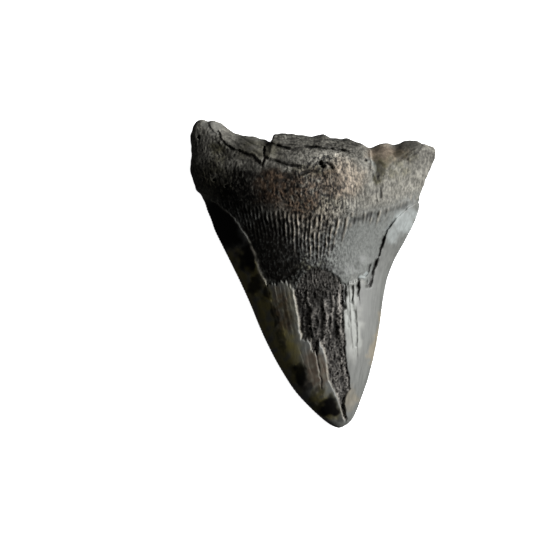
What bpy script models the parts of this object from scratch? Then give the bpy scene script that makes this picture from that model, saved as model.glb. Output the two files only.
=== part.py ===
"""Fossil megalodon tooth, one solid, lying on its labial face with the root at +Y and the tip at -Y.

The tooth is a dentine body (root, collar and broken core) fused with what is left of its enamel.
Tables are in millimetres, and MM turns them into Blender's metres.
"""
import bmesh
import bpy
import numpy as np
from mathutils import Vector, noise

MM = 0.001

# Outline seen from above: each edge from the root to the tip, and the root's margin from left to right.
LEFT_EDGE = [(-46.1, 57.6), (-47.2, 54.9), (-47.1, 50.6), (-46.9, 46.6), (-47.3, 42.6), (-47.0, 39.0),
             (-45.8, 36.3), (-45.1, 33.6), (-42.9, 31.4), (-41.1, 28.2), (-39.1, 21.7), (-38.4, 17.6),
             (-34.8, 10.8), (-31.3, 3.8), (-24.7, -10.2), (-18.8, -24.3), (-11.4, -38.3), (-5.7, -46.7),
             (-0.9, -51.8), (3.2, -55.3), (6.9, -58.4), (8.1, -59.2)]
RIGHT_EDGE = [(47.0, 49.2), (47.6, 47.7), (47.5, 45.6), (46.3, 42.1), (44.9, 38.6), (43.2, 34.4),
              (42.2, 31.6), (41.8, 29.4), (41.4, 28.3), (41.8, 27.0), (41.4, 24.9), (39.9, 20.6),
              (36.2, 13.2), (32.3, 6.1), (29.5, -0.9), (28.0, -7.9), (26.4, -19.6), (23.7, -33.6),
              (20.9, -43.8), (19.0, -48.9), (17.0, -53.6), (15.2, -56.8), (13.6, -58.6)]
ROOT_MARGIN = [(-46.1, 57.6), (-45.0, 59.2), (-43.3, 60.1), (-40.7, 59.5), (-38.4, 59.7), (-36.2, 58.9),
               (-33.9, 57.5), (-30.8, 55.3), (-28.6, 54.2), (-25.4, 53.8), (-21.8, 53.3), (-18.2, 52.2),
               (-16.4, 51.6), (-15.7, 52.4), (-15.1, 53.8), (-13.4, 54.6), (-8.7, 54.4), (-4.0, 54.0),
               (-0.7, 53.6), (5.8, 53.7), (6.7, 53.1), (10.0, 52.8), (15.2, 52.2), (16.6, 51.5),
               (18.9, 50.8), (20.3, 49.5), (21.7, 49.0), (23.1, 49.2), (24.8, 50.2), (27.7, 51.0),
               (31.6, 50.4), (34.4, 51.4), (37.2, 51.9), (40.3, 51.7), (42.5, 50.9), (45.3, 49.9),
               (47.0, 49.2)]
TIP = [(8.1, -59.2), (10.6, -59.9), (13.6, -58.6)]

# Heights along the tooth, as (y, z): the crest of the upper face, and the rim where the faces meet.
CREST = [(-60.0, 4.2), (-55.0, 6.4), (-48.0, 9.0), (-38.0, 11.8), (-20.0, 15.2), (0.0, 17.8), (14.0, 20.4),
         (26.0, 23.6), (35.0, 25.2), (42.0, 24.2), (50.0, 20.5), (60.0, 16.0)]
RIM = [(-60.0, 2.6), (-48.0, 3.0), (-20.0, 3.5), (10.0, 4.0), (30.0, 5.0), (42.0, 7.0), (60.0, 7.5)]
CROWN_POWER = 0.85
LOBE_SHARE = 0.45
TORUS_POWER = 1.4
ROOT_BLEND = (6.0, 34.0)
MARGIN_ROUNDING = 0.085
FLAT_CROWN = 0.50
FLAT_ROOT = 0.62
TIP_LIFT = 1.8
TIP_LIFT_SPAN = (-32.0, -60.0)
TIP_ROUNDING = 0.025

# Enamel, and the levels of the dentine against it.
ENAMEL = 0.6
ENAMEL_RIM = 0.45
ENAMEL_TOP = (28.8, 31.2)
CORE_DROP = 0.8
ROOT_RISE = 0.9
RECESS_UNDER = 0.5
RECESS_FADE = (26.0, 34.0)
# How far in from each side, the root's margin and the tip the relief fades out, as shares of the tooth.
SIDE_FADE = 1 / 14
ROOT_FADE = 1 / 18
TIP_FADE = 1 / 30
# The height that parts the upper face from the lower, how far the cutters reach, and how far the far side
# of a tool lies within the tooth.
SPLIT_HEIGHT = 5.0
REACH = 40.0
TOOL_SINK = 2.0

# Where the upper face has no enamel: down the left sheet and its planks to the tip, and back up the right.
GAP_ABOVE = [(-70.0, 33.0), (-43.6, 32.2), (-39.0, 28.8), (-34.0, 25.3), (-30.0, 21.5), (-25.1, 14.8),
             (-22.3, 7.7), (-20.1, 0.9), (-18.5, -1.8), (-17.4, -3.6), (-14.6, -3.4), (-12.5, -2.4),
             (-9.2, -3.8), (-7.5, -5.9), (-5.9, -14.1), (-4.4, -24.6), (-0.9, -25.4), (-0.5, -29.4),
             (1.9, -29.7), (2.0, -25.8), (2.9, -25.6), (4.8, -30.1), (6.1, -40.3), (8.5, -44.6),
             (10.0, -48.1), (12.0, -55.5), (13.0, -57.4), (13.4, -55.8), (12.3, -50.4), (12.4, -47.2),
             (14.6, -44.2), (14.3, -41.0), (13.2, -35.6), (12.4, -28.6), (12.0, -21.2), (11.6, -14.1),
             (11.6, -3.8), (14.3, -3.0), (18.6, -1.9), (21.4, -3.6), (22.5, -0.9), (23.9, 2.6), (25.7, 7.6),
             (26.5, 10.2), (27.8, 14.6), (28.8, 17.2), (32.2, 21.6), (36.5, 25.6), (41.5, 28.9), (70.0, 29.5),
             (70.0, 90.0), (-70.0, 90.0)]
# Where the lower face has none: everything on the root side of a shallow arc.
GAP_BELOW = [(-70.0, 30.5), (-42.5, 29.6), (-34.0, 23.0), (-22.0, 17.4), (-8.0, 14.6), (8.0, 14.4),
             (22.0, 17.0), (34.0, 22.4), (41.5, 28.6), (70.0, 29.5), (70.0, 90.0), (-70.0, 90.0)]

# The striated collar lies between these lines, as (x, y).
BAND_TOP = [(-42.0, 30.0), (-32.1, 28.0), (-24.3, 26.4), (-12.6, 23.7), (-0.9, 22.5), (12.8, 22.5),
            (22.5, 24.1), (30.3, 26.0), (38.1, 29.6), (42.0, 30.5)]
BAND_BOTTOM = [(-42.0, 28.0), (-28.2, 20.6), (-24.3, 17.8), (-14.5, 14.3), (-8.7, 11.2), (-2.8, 7.3),
               (2.2, 5.8), (6.9, 7.7), (11.6, 12.4), (16.7, 17.1), (22.5, 20.6), (28.4, 21.7),
               (34.2, 25.0), (42.0, 29.0)]
BAND_REACH = (1.5, -1.0)
BAND_FADE = 3.0
ROOT_STEP = (-1.0, 4.0)
RIDGE_HEIGHT = 0.45
RIDGE_VARIETY = 0.5
RIDGE_RAGGED = 3.0
CORE = [(-8.6, -9.0), (-6.6, -5.4), (-4.8, -1.2), (-2.4, 1.5), (1.1, 2.9), (5.4, 1.6), (9.4, -1.6),
        (13.0, -4.4), (14.6, -14.0), (15.4, -34.0), (17.0, -43.0), (14.6, -52.0), (14.6, -57.0),
        (11.6, -56.4), (6.0, -46.0), (1.0, -34.0), (-6.0, -27.0)]
CORE_RIBS = [-1.4, 1.5, 4.6, 7.5, 10.0]
CORE_RIB_SPAN = (-26.0, -7.0)
CORE_RIB_HEIGHT = 0.5
CORE_RIB_WIDTH = 0.9
CORE_RIB_FADE = 4.0

# Broken plates left standing along the root's upper margin: name, height and outline.
PLATES = [
    ("plate_left", 1.1, [(-36.6, 54.6), (-34.6, 51.2), (-31.3, 48.3), (-28.2, 47.2), (-25.4, 46.3),
                         (-21.9, 44.6), (-19.6, 41.6), (-18.6, 43.6), (-17.6, 47.5), (-15.6, 51.2),
                         (-15.2, 70.0), (-38.0, 70.0)]),
    ("plate_lower", 0.9, [(-18.2, 41.4), (-16.0, 43.8), (-12.2, 42.0), (-8.8, 41.3), (-4.0, 40.9),
                          (-1.0, 43.0), (2.6, 44.6), (7.6, 44.9), (9.0, 47.0), (6.0, 51.0),
                          (-16.5, 51.5)]),
    ("plate_upper", 2.0, [(-17.2, 50.1), (-13.5, 49.2), (-11.5, 48.2), (-8.4, 47.3), (-4.6, 48.1),
                          (-0.5, 48.5), (2.3, 47.8), (7.9, 47.4), (12.5, 46.7), (16.4, 47.4),
                          (19.6, 49.4), (20.6, 70.0), (-15.0, 70.0)]),
]
PLATE_OVERHANG = 0.7
PLATE_RISE = 1 / 40

# The shell-shaped scoop beside the right lobe: deep at its left wall, and fading to the right.
SCOOP_SLOPE = [(24.3, 36.2), (28.4, 40.9), (32.3, 43.6), (36.2, 46.7), (40.1, 48.7), (42.6, 50.0)]
SCOOP = SCOOP_SLOPE + [(44.0, 70.0), (21.6, 70.0), (21.9, 46.0), (22.3, 42.6), (22.9, 38.6)]
SCOOP_DEPTH = 2.6
SCOOP_FADE = 8.0
SINK = 0.12

# Cracks in the surface: name, half width, and route.
CRACKS = [
    ("cleft", 1.5, [(-15.4, 53.4), (-16.6, 50.4), (-17.7, 47.2), (-18.6, 43.8), (-19.4, 40.0)]),
    ("crease", 0.7, [(-35.4, 54.5), (-33.6, 50.6), (-31.3, 48.3), (-28.2, 47.3), (-25.4, 46.3), (-21.9, 44.8),
                     (-19.6, 41.4)]),
    ("upper_split", 0.75, [(-17.0, 50.2), (-13.5, 49.4), (-11.5, 48.4), (-8.4, 47.4), (-4.6, 48.1),
                           (-0.5, 48.6), (2.3, 47.9), (7.9, 47.6), (13.0, 46.6)]),
    ("lower_split", 0.75, [(-18.6, 44.6), (-14.9, 43.4), (-12.2, 41.9), (-9.0, 41.3), (-6.3, 40.7),
                           (-2.4, 40.9)]),
    ("pore_brow", 0.6, [(1.6, 42.0), (3.6, 43.2), (5.8, 42.2), (7.4, 39.8)]),
    ("scoop_seam", 0.7, [(24.6, 36.6), (24.9, 33.6), (25.3, 28.4)]),
    ("lobe_seam", 0.55, [(43.2, 50.6), (41.6, 48.0), (39.6, 46.0)]),
    ("left_seam", 0.5, [(-38.5, 41.5), (-34.0, 42.6), (-30.0, 43.8), (-26.0, 42.6)]),
    ("plank_seam_a", 0.4, [(-14.6, -4.6), (-12.6, -14.0), (-9.8, -24.0)]),
    ("plank_seam_b", 0.4, [(-11.0, -4.8), (-9.2, -14.0), (-6.9, -25.0)]),
    ("plank_seam_c", 0.4, [(2.0, -31.0), (2.6, -36.0), (3.6, -44.0)]),
    ("plank_seam_d", 0.4, [(-3.2, -26.4), (-1.6, -34.0), (1.0, -42.0)]),
    ("sheet_seam_a", 0.4, [(15.0, -5.0), (15.6, -11.0), (17.0, -18.8)]),
    ("sheet_seam_b", 0.45, [(18.0, -3.0), (17.9, -8.4), (18.2, -14.0)]),
    ("sheet_seam_c", 0.35, [(14.0, -14.0), (15.0, -24.0), (15.8, -33.0)]),
]
PITS = [("pore", 1.25, (3.0, 41.2)), ("pore_lower", 0.95, (3.4, 38.2)), ("lobe_pit", 0.85, (-43.8, 52.9))]
PIT_DEPTH = 4.0
PIT_TAPER = 0.6
PIT_SIDES = 10
CRACK_TAPER = 0.5

# Lumps of the weathered root: size across, and height; and the spread of the noise behind them.
NOISE_SPREAD = 1.6
LUMP_SIZE = 7.0
LUMP_HEIGHT = 0.55
GRAIN_SIZE = 2.6
GRAIN_HEIGHT = 0.3

# The mesh: columns across, and rows as (end of stretch, rows in it, column step), from root to tip.
COLUMNS = 112
COLUMN_CROWDING = 0.2
DENTINE_ROWS = [(0.10, 7, 2), (0.255, 9, 2), (0.45, 11, 1), (0.93, 14, 4), (1.0, 4, 4)]
ENAMEL_ROWS = [(0.26, 1, 4), (0.93, 17, 4), (1.0, 4, 4)]
PLATE_ROWS = [(0.10, 5, 4), (0.30, 6, 4)]
CORE_ROWS = [(0.43, 3, 4), (0.97, 23, 2)]
ENAMEL_START = 0.20
CORE_START = 0.36
CAP_CROWDING = 1.7
UNDER_STEP = 4
UNDER_ROWS = 3

TOOTH_COLOUR = (0.115, 0.106, 0.094, 1.0)
TOOTH_ROUGHNESS = 0.5


def curve_through(points, at, flip=False):
    """Smooth cubic through the points, y from x, or x from y when flipped."""
    table = np.array(sorted((y, x) if flip else (x, y) for x, y in points))
    knots, values = table[:, 0], table[:, 1]
    slopes = np.gradient(values, knots)
    at = np.clip(at, knots[0], knots[-1])
    i = np.clip(np.searchsorted(knots, at) - 1, 0, len(knots) - 2)
    span = knots[i + 1] - knots[i]
    t = (at - knots[i]) / span
    start = (2 * t**3 - 3 * t**2 + 1) * values[i] + (t**3 - 2 * t**2 + t) * span * slopes[i]
    return start + (3 * t**2 - 2 * t**3) * values[i + 1] + (t**3 - t**2) * span * slopes[i + 1]


def smooth(value, low, high):
    """0 below low, 1 above high, and an even S between them."""
    t = np.clip((value - low) / (high - low), 0.0, 1.0)
    return t * t * (3 - 2 * t)


def distance(x, y, line):
    """Distance from each point to a line of straight runs."""
    best = np.full(np.shape(x), np.inf)
    for (ax, ay), (bx, by) in zip(line, line[1:]):
        length = (bx - ax) ** 2 + (by - ay) ** 2
        t = np.clip(((x - ax) * (bx - ax) + (y - ay) * (by - ay)) / length, 0.0, 1.0)
        best = np.minimum(best, np.hypot(x - ax - t * (bx - ax), y - ay - t * (by - ay)))
    return best


def plan(u, v, inset):
    """Point of the plan at u across and v along: a patch between the four sides of the outline."""
    left_y = LEFT_EDGE[0][1] + v * (LEFT_EDGE[-1][1] - LEFT_EDGE[0][1])
    right_y = RIGHT_EDGE[0][1] + v * (RIGHT_EDGE[-1][1] - RIGHT_EDGE[0][1])
    left_x = curve_through(LEFT_EDGE, left_y, flip=True) + inset * (1 - smooth(left_y, *ENAMEL_TOP))
    right_x = curve_through(RIGHT_EDGE, right_y, flip=True) - inset * (1 - smooth(right_y, *ENAMEL_TOP))
    root_x = ROOT_MARGIN[0][0] + u * (ROOT_MARGIN[-1][0] - ROOT_MARGIN[0][0])
    tip_x = TIP[0][0] + inset + u * (TIP[-1][0] - TIP[0][0] - 2 * inset)
    root_y = curve_through(ROOT_MARGIN, root_x)
    tip_y = curve_through(TIP, tip_x) + inset
    corner_x = ((1 - u) * ((1 - v) * ROOT_MARGIN[0][0] + v * (TIP[0][0] + inset))
                + u * ((1 - v) * ROOT_MARGIN[-1][0] + v * (TIP[-1][0] - inset)))
    corner_y = ((1 - u) * ((1 - v) * ROOT_MARGIN[0][1] + v * (TIP[0][1] + inset))
                + u * ((1 - v) * ROOT_MARGIN[-1][1] + v * (TIP[-1][1] + inset)))
    x = (1 - u) * left_x + u * right_x + (1 - v) * root_x + v * tip_x - corner_x
    y = (1 - u) * left_y + u * right_y + (1 - v) * root_y + v * tip_y - corner_y
    return x, y


def upper_face(u, v, y):
    """Height of the smooth upper face, before any relief."""
    side = np.abs(2 * u - 1)
    crown = (1 - side**2) ** CROWN_POWER
    lobes = LOBE_SHARE * (1 - side**4) ** 0.5 + (1 - LOBE_SHARE) * (1 - side**2) ** TORUS_POWER
    root_part = smooth(y, *ROOT_BLEND)
    margin = np.clip(v / MARGIN_ROUNDING, 0.0, 1.0)
    rounding = np.sqrt(1 - (1 - margin) ** 2)
    tip_rounding = np.sqrt(1 - np.clip((v - 1 + TIP_ROUNDING) / TIP_ROUNDING, 0.0, 1.0) ** 2)
    rim = curve_through(RIM, y)
    swell = curve_through(CREST, y) - rim
    return rim + swell * (crown + (lobes - crown) * root_part) * rounding * tip_rounding


def lower_face(u, v, y):
    """Height of the lower face: flat along the middle, rising to the rim round it."""
    side = np.abs(2 * u - 1)
    root_part = smooth(y, *ROOT_BLEND)
    flat = FLAT_CROWN + (FLAT_ROOT - FLAT_CROWN) * root_part
    out = np.clip((side - flat) / (1 - flat), 0.0, 1.0)
    back = np.clip(1 - v / MARGIN_ROUNDING, 0.0, 1.0)
    rise = (1 - root_part) * out**2 + root_part * (1 - np.sqrt(1 - out**2))
    rise = 1 - (1 - rise) * np.sqrt(1 - back**2)
    rim = curve_through(RIM, y)
    start, end = TIP_LIFT_SPAN
    lift = TIP_LIFT * np.clip((start - y) / (start - end), 0.0, 1.0) ** 2
    return lift + (rim - lift) * rise


def lumps(x, y, size, seed):
    """Smooth unevenness between about -1 and 1, of the given size across."""
    spots = zip(np.ravel(x), np.ravel(y))
    values = [noise.noise(Vector((a / size, b / size, seed))) for a, b in spots]
    return np.reshape(values, np.shape(x)) * NOISE_SPREAD


def ridges(t):
    """Ridges of the collar: one to each pair of columns."""
    return np.cos(np.pi * COLUMNS * t)


def relief(x, y, t):
    """What the dentine's upper face adds to its smooth form."""
    band_top, band_bottom = curve_through(BAND_TOP, x), curve_through(BAND_BOTTOM, x)
    ridge = np.round(COLUMNS * t / 2)
    ragged = RIDGE_RAGGED * lumps(ridge * 2.2, y * 0, 1.0, 4.0)
    above, below = BAND_REACH
    band = smooth(band_top + above + ragged - y, 0, BAND_FADE)
    band *= smooth(y - band_bottom - below + ragged, 0, BAND_FADE)
    low, high = ROOT_STEP
    root_part = smooth(y, (band_top + band_bottom) / 2 + low, band_top + high)
    tall = 1 + RIDGE_VARIETY * lumps(ridge * 3.7, y * 0, 1.0, 7.0)
    height = ROOT_RISE * root_part + RIDGE_HEIGHT * band * tall * ridges(t)
    height += LUMP_HEIGHT * lumps(x, y, LUMP_SIZE, 1.0) * root_part
    return height + GRAIN_HEIGHT * lumps(x, y, GRAIN_SIZE, 2.0) * root_part


def core_floor(x, y):
    """Height of the broken, spongy core against the dentine round it."""
    ribs = sum(np.exp(-(((x - rib) / CORE_RIB_WIDTH) ** 2)) for rib in CORE_RIBS)
    low, high = CORE_RIB_SPAN
    span = smooth(y, low, low + CORE_RIB_FADE) * smooth(high - y, 0, CORE_RIB_FADE)
    return CORE_RIB_HEIGHT * ribs * span + GRAIN_HEIGHT * lumps(x, y, GRAIN_SIZE, 2.0) - CORE_DROP


def across(t):
    """Place across the tooth of a column, with the columns crowded towards both edges."""
    return t - COLUMN_CROWDING * np.sin(2 * np.pi * t) / (2 * np.pi)


def inner(u, v):
    """0 on the rim and 1 a little way in from it."""
    side = np.minimum(u, 1 - u) / SIDE_FADE
    return np.clip(np.minimum(side, np.minimum(v / ROOT_FADE, (1 - v) / TIP_FADE)), 0.0, 1.0)


def dentine(t, v, upper=True):
    """Point of the dentine body."""
    u = across(t)
    x, y = plan(u, v, ENAMEL_RIM)
    if upper:
        return x, y, upper_face(u, v, y) + relief(x, y, t) * inner(u, v)
    recess = RECESS_UNDER * (1 - smooth(y, *RECESS_FADE)) * inner(u, v)
    return x, y, lower_face(u, v, y) + recess


def enamel(t, v, upper=True):
    """Point of the enamel's outside."""
    u = across(t)
    x, y = plan(u, v, 0.0)
    if upper:
        return x, y, upper_face(u, v, y) + ENAMEL * np.clip(np.minimum(u, 1 - u) / SIDE_FADE, 0.0, 1.0)
    return x, y, lower_face(u, v, y)


def raised(height):
    """Surface of the plates, the given height above the dentine."""
    def surface(t, v, upper=True):
        x, y, z = dentine(t, v, upper)
        out = np.clip(1 - v / MARGIN_ROUNDING, 0.0, 1.0)
        rise = height * np.clip(v / PLATE_RISE, 0.0, 1.0)
        return x, y + PLATE_OVERHANG * out, z + (rise if upper else TOOL_SINK)
    return surface


def scoop_floor(t, v, upper=True):
    """Surface of the scoop, under the dentine's."""
    x, y, z = dentine(t, v, upper)
    depth = SINK + SCOOP_DEPTH * smooth(distance(x, y, SCOOP_SLOPE), 0.0, SCOOP_FADE)
    return x, y, z - (depth if upper else TOOL_SINK)


def core_surface(t, v, upper=True):
    """Surface of the broken core, under the dentine's."""
    x, y, z = dentine(t, v, upper)
    return x, y, z + (core_floor(x, y) if upper else -TOOL_SINK)


def row_places(stretches, start=0.0):
    """Each row's place along the tooth and its column step; rows crowd at the root's rounded margin."""
    places, steps = [start], [stretches[0][2]]
    for end, count, step in stretches:
        first = places[-1]
        for k in range(1, count + 1):
            share = k / count
            if first == 0.0:
                share = share**CAP_CROWDING
            elif end == 1.0:
                share = 1 - (1 - share) ** CAP_CROWDING
            places.append(first + (end - first) * share)
            steps.append(step)
    return places, steps


def panel(mesh, table, rows, columns, upper):
    """One face round the points of the table on a rectangle of rows and columns."""
    (r0, r1), (c0, c1) = rows, columns
    ring = [(r0, c) for c in range(c0, c1)] + [(r, c1) for r in range(r0, r1)]
    ring += [(r1, c) for c in range(c1, c0, -1)] + [(r, c0) for r in range(r1, r0, -1)]
    corners = [table[key] for key in ring if key in table]
    mesh.faces.new(corners[::-1] if upper else corners)


def closed_loft(name, surface, stretches, start, collection):
    """Closed body of an upper and a coarser lower sheet that share their rim."""
    places, steps = row_places(stretches, start)
    last = len(places) - 1
    mesh = bmesh.new()

    def point(r, c, upper):
        x, y, z = surface(np.array(c / COLUMNS), np.array(places[r]), upper)
        return mesh.verts.new(Vector((float(x), float(y), float(z))) * MM)

    above, below = {}, {}
    for r in range(last + 1):
        for c in range(0, COLUMNS + 1, steps[r]):
            above[r, c] = point(r, c, True)
            if r in (0, last) or c in (0, COLUMNS):
                below[r, c] = above[r, c]
    under_rows = sorted(set(range(0, last, UNDER_ROWS)) | {last})
    for r in under_rows[1:-1]:
        for c in range(UNDER_STEP, COLUMNS, UNDER_STEP):
            below[r, c] = point(r, c, False)
    for r in range(last):
        width = max(steps[r], steps[r + 1])
        for c in range(0, COLUMNS, width):
            panel(mesh, above, (r, r + 1), (c, c + width), True)
    for r0, r1 in zip(under_rows, under_rows[1:]):
        for c in range(0, COLUMNS, UNDER_STEP):
            panel(mesh, below, (r0, r1), (c, c + UNDER_STEP), False)
    bmesh.ops.triangulate(mesh, faces=mesh.faces)
    return new_object(name, mesh, collection)


def new_object(name, mesh, collection):
    """Object of a finished mesh."""
    data = bpy.data.meshes.new(name)
    mesh.to_mesh(data)
    mesh.free()
    piece = bpy.data.objects.new(name, data)
    collection.objects.link(piece)
    return piece


def prism(name, outline, low, high, collection):
    """Upright prism on an outline."""
    curve = bpy.data.curves.new(name, "CURVE")
    curve.dimensions = "2D"
    curve.fill_mode = "BOTH"
    curve.extrude = (high - low) / 2 * MM
    spline = curve.splines.new("POLY")
    spline.points.add(len(outline) - 1)
    spline.use_cyclic_u = True
    for spot, (x, y) in zip(spline.points, outline):
        spot.co = (x * MM, y * MM, 0.0, 1.0)
    return curve_to_mesh(curve, (0.0, 0.0, (low + high) / 2 * MM), collection)


def crack(name, half_width, route, body, collection):
    """Blade that cuts a narrow groove along a route on the body's upper face."""
    curve = bpy.data.curves.new(name, "CURVE")
    curve.dimensions = "3D"
    curve.bevel_depth = half_width * MM
    curve.bevel_resolution = 0
    curve.use_fill_caps = True
    spline = curve.splines.new("POLY")
    spline.points.add(len(route) - 1)
    for spot, (x, y) in zip(spline.points, route):
        spot.co = (x * MM, y * MM, height_above(body, x, y), 1.0)
    spline.points[0].radius = CRACK_TAPER
    spline.points[-1].radius = CRACK_TAPER
    return curve_to_mesh(curve, (0.0, 0.0, 0.0), collection)


def pit(name, radius, place, body, collection):
    """Round cutter that sinks a pit into the body's upper face."""
    x, y = place
    mesh = bmesh.new()
    bmesh.ops.create_cone(mesh, cap_ends=True, segments=PIT_SIDES, radius1=radius * PIT_TAPER * MM,
                          radius2=radius * MM, depth=PIT_DEPTH * MM)
    bmesh.ops.translate(mesh, verts=mesh.verts, vec=(x * MM, y * MM, height_above(body, x, y)))
    return new_object(name, mesh, collection)


def height_above(body, x, y):
    """Height in metres of the body's upper face at a point of the plan, or 0 beside it."""
    shown = body.evaluated_get(bpy.context.evaluated_depsgraph_get())
    origin, down = Vector((x, y, REACH)) * MM, Vector((0.0, 0.0, -1.0))
    hit, spot, _normal, _face = shown.ray_cast(origin, down)
    return spot.z if hit else 0.0


def curve_to_mesh(curve, place, collection):
    """Mesh object of a curve, with its loose caps welded on."""
    guide = bpy.data.objects.new(curve.name + "_curve", curve)
    collection.objects.link(guide)
    guide.location = place
    bpy.context.view_layer.update()
    data = bpy.data.meshes.new_from_object(guide.evaluated_get(bpy.context.evaluated_depsgraph_get()))
    piece = bpy.data.objects.new(curve.name, data)
    collection.objects.link(piece)
    piece.matrix_world = guide.matrix_world
    bpy.data.objects.remove(guide)
    mesh = bmesh.new()
    mesh.from_mesh(data)
    bmesh.ops.remove_doubles(mesh, verts=mesh.verts, dist=0.00001)
    bmesh.ops.dissolve_limit(mesh, angle_limit=0.001, verts=mesh.verts, edges=mesh.edges)
    bmesh.ops.recalc_face_normals(mesh, faces=mesh.faces)
    mesh.to_mesh(data)
    mesh.free()
    return piece


def boolean(target, tool, operation):
    """Joins a tool to the target, or cuts it out of or down to it."""
    step = target.modifiers.new(tool.name, "BOOLEAN")
    step.object = tool
    step.operation = operation
    step.solver = "MANIFOLD"


def tooth_material():
    """Plain material of the whole tooth."""
    material = bpy.data.materials.new("fossil_tooth")
    material.use_nodes = True
    shader = material.node_tree.nodes["Principled BSDF"]
    shader.inputs["Base Color"].default_value = TOOTH_COLOUR
    shader.inputs["Roughness"].default_value = TOOTH_ROUGHNESS
    shader.inputs["Metallic"].default_value = 0.0
    return material


def main():
    """Builds the tooth in an empty scene."""
    for old in list(bpy.data.objects):
        bpy.data.objects.remove(old)
    parts = bpy.data.collections.new("megalodon_tooth")
    tools = bpy.data.collections.new("cutters")
    bpy.context.scene.collection.children.link(parts)
    bpy.context.scene.collection.children.link(tools)

    tooth = closed_loft("tooth", dentine, DENTINE_ROWS, 0.0, parts)
    for name, height, outline in PLATES:
        plate = closed_loft(name, raised(height), PLATE_ROWS, 0.0, tools)
        boolean(plate, prism(name + "_outline", outline, SPLIT_HEIGHT, REACH, tools), "INTERSECT")
        boolean(tooth, plate, "UNION")
    hollows = [("scoop", scoop_floor, PLATE_ROWS, 0.0, SCOOP),
               ("core", core_surface, CORE_ROWS, CORE_START, CORE)]
    for name, surface, rows, start, outline in hollows:
        hollow = prism(name, outline, 0.0, REACH, tools)
        boolean(hollow, closed_loft(name + "_floor", surface, rows, start, tools), "DIFFERENCE")
        boolean(tooth, hollow, "DIFFERENCE")
    sheets = closed_loft("enamel_sheets", enamel, ENAMEL_ROWS, ENAMEL_START, tools)
    boolean(sheets, prism("gap_above", GAP_ABOVE, SPLIT_HEIGHT, REACH, tools), "DIFFERENCE")
    boolean(sheets, prism("gap_below", GAP_BELOW, -REACH, SPLIT_HEIGHT, tools), "DIFFERENCE")
    boolean(tooth, sheets, "UNION")
    bpy.context.view_layer.update()

    for name, half_width, route in CRACKS:
        boolean(tooth, crack(name, half_width, route, tooth, tools), "DIFFERENCE")
    for name, radius, place in PITS:
        boolean(tooth, pit(name, radius, place, tooth, tools), "DIFFERENCE")
    tooth.data.materials.append(tooth_material())
    for tool in tools.objects:
        tool.hide_render = True
        tool.display_type = "WIRE"


main()
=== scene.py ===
"""Fossil megalodon tooth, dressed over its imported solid, with a plain studio round it.

Tables are in millimetres, and MM turns them into Blender's metres. The tooth lies on its labial face with
the root at +Y and the tip at -Y.
"""

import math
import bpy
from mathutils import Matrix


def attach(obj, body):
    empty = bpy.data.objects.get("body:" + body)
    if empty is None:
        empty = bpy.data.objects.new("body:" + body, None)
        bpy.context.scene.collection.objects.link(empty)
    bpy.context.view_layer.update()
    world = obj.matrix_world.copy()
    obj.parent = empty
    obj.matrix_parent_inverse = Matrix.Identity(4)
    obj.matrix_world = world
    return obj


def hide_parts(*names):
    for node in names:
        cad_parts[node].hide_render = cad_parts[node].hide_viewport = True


bl_info = {
    "name": "Fossil Megalodon Tooth",
    "version": (1, 0, 0),
    "blender": (4, 5, 0),
    "location": "View3D > Sidebar > Fossil",
    "description": "Models a weathered megalodon tooth with its broken enamel, and a plain studio for it",
    "category": "Add Mesh",
}

import bpy
import numpy as np
from mathutils import Vector, noise

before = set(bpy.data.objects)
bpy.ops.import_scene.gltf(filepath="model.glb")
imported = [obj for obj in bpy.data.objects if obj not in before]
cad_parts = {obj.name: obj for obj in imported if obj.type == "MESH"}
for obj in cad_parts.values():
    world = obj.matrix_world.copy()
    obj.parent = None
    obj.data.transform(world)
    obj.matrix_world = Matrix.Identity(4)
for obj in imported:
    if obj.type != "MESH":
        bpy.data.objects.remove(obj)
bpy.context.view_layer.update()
MM = 0.001

# --- The tooth's form, as on the solid ----------------------------------------------------------------

# Outline seen from above: each edge from the root to the tip, and the root's margin from left to right.
LEFT_EDGE = [
    (-46.1, 57.6), (-47.2, 54.9), (-47.1, 50.6), (-46.9, 46.6), (-47.3, 42.6), (-47, 39), (-46.2, 36.3),
    (-45.4, 33.6), (-43.6, 31.4), (-41.9, 28.2), (-40.9, 25), (-39.5, 21.7), (-38.1, 17.6), (-34.8, 10.8),
    (-31.3, 3.8), (-24.7, -10.2), (-18.8, -24.3), (-11.4, -38.3), (-5.7, -46.7), (-0.9, -51.8),
    (2.8, -55.3), (6.8, -58.4), (8.1, -59.2)
]
RIGHT_EDGE = [
    (47, 49.2), (47.6, 47.7), (47.5, 45.6), (46.3, 42.1), (44.9, 38.6), (43.2, 34.4), (42.2, 31.6),
    (41.8, 29.4), (41.4, 28.3), (41.8, 27), (41.4, 24.9), (39.9, 20.6), (36.2, 13.2), (32.3, 6.1),
    (29.5, -0.9), (28, -7.9), (26.4, -19.6), (23.7, -33.6), (20.9, -43.8), (19, -48.9), (17.2, -53.6),
    (15.5, -56.7), (13.8, -58.5)
]
ROOT_MARGIN = [
    (-46.1, 57.6), (-45, 59.2), (-43.3, 60.1), (-40.7, 59.5), (-38.4, 59.7), (-36.2, 58.9), (-33.9, 57.5),
    (-30.8, 55.3), (-28.6, 54.2), (-25.4, 53.8), (-21.8, 53.3), (-18.2, 52.2), (-16.4, 51.6), (-15.7, 52.4),
    (-15.1, 53.8), (-13.4, 54.6), (-8.7, 54.4), (-4, 54), (-0.7, 53.6), (5.8, 53.7), (6.7, 53.1),
    (10, 52.8), (15.2, 52.2), (16.6, 51.5), (18.9, 50.8), (20.3, 49.5), (21.7, 49), (23.1, 49.2),
    (24.8, 50.2), (27.7, 51), (31.6, 50.4), (34.4, 51.4), (37.2, 51.9), (40.3, 51.7), (42.5, 50.9),
    (45.3, 49.9), (47, 49.2)
]
TIP = [(8.1, -59.2), (10.6, -59.9), (13.8, -58.5)]

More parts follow.
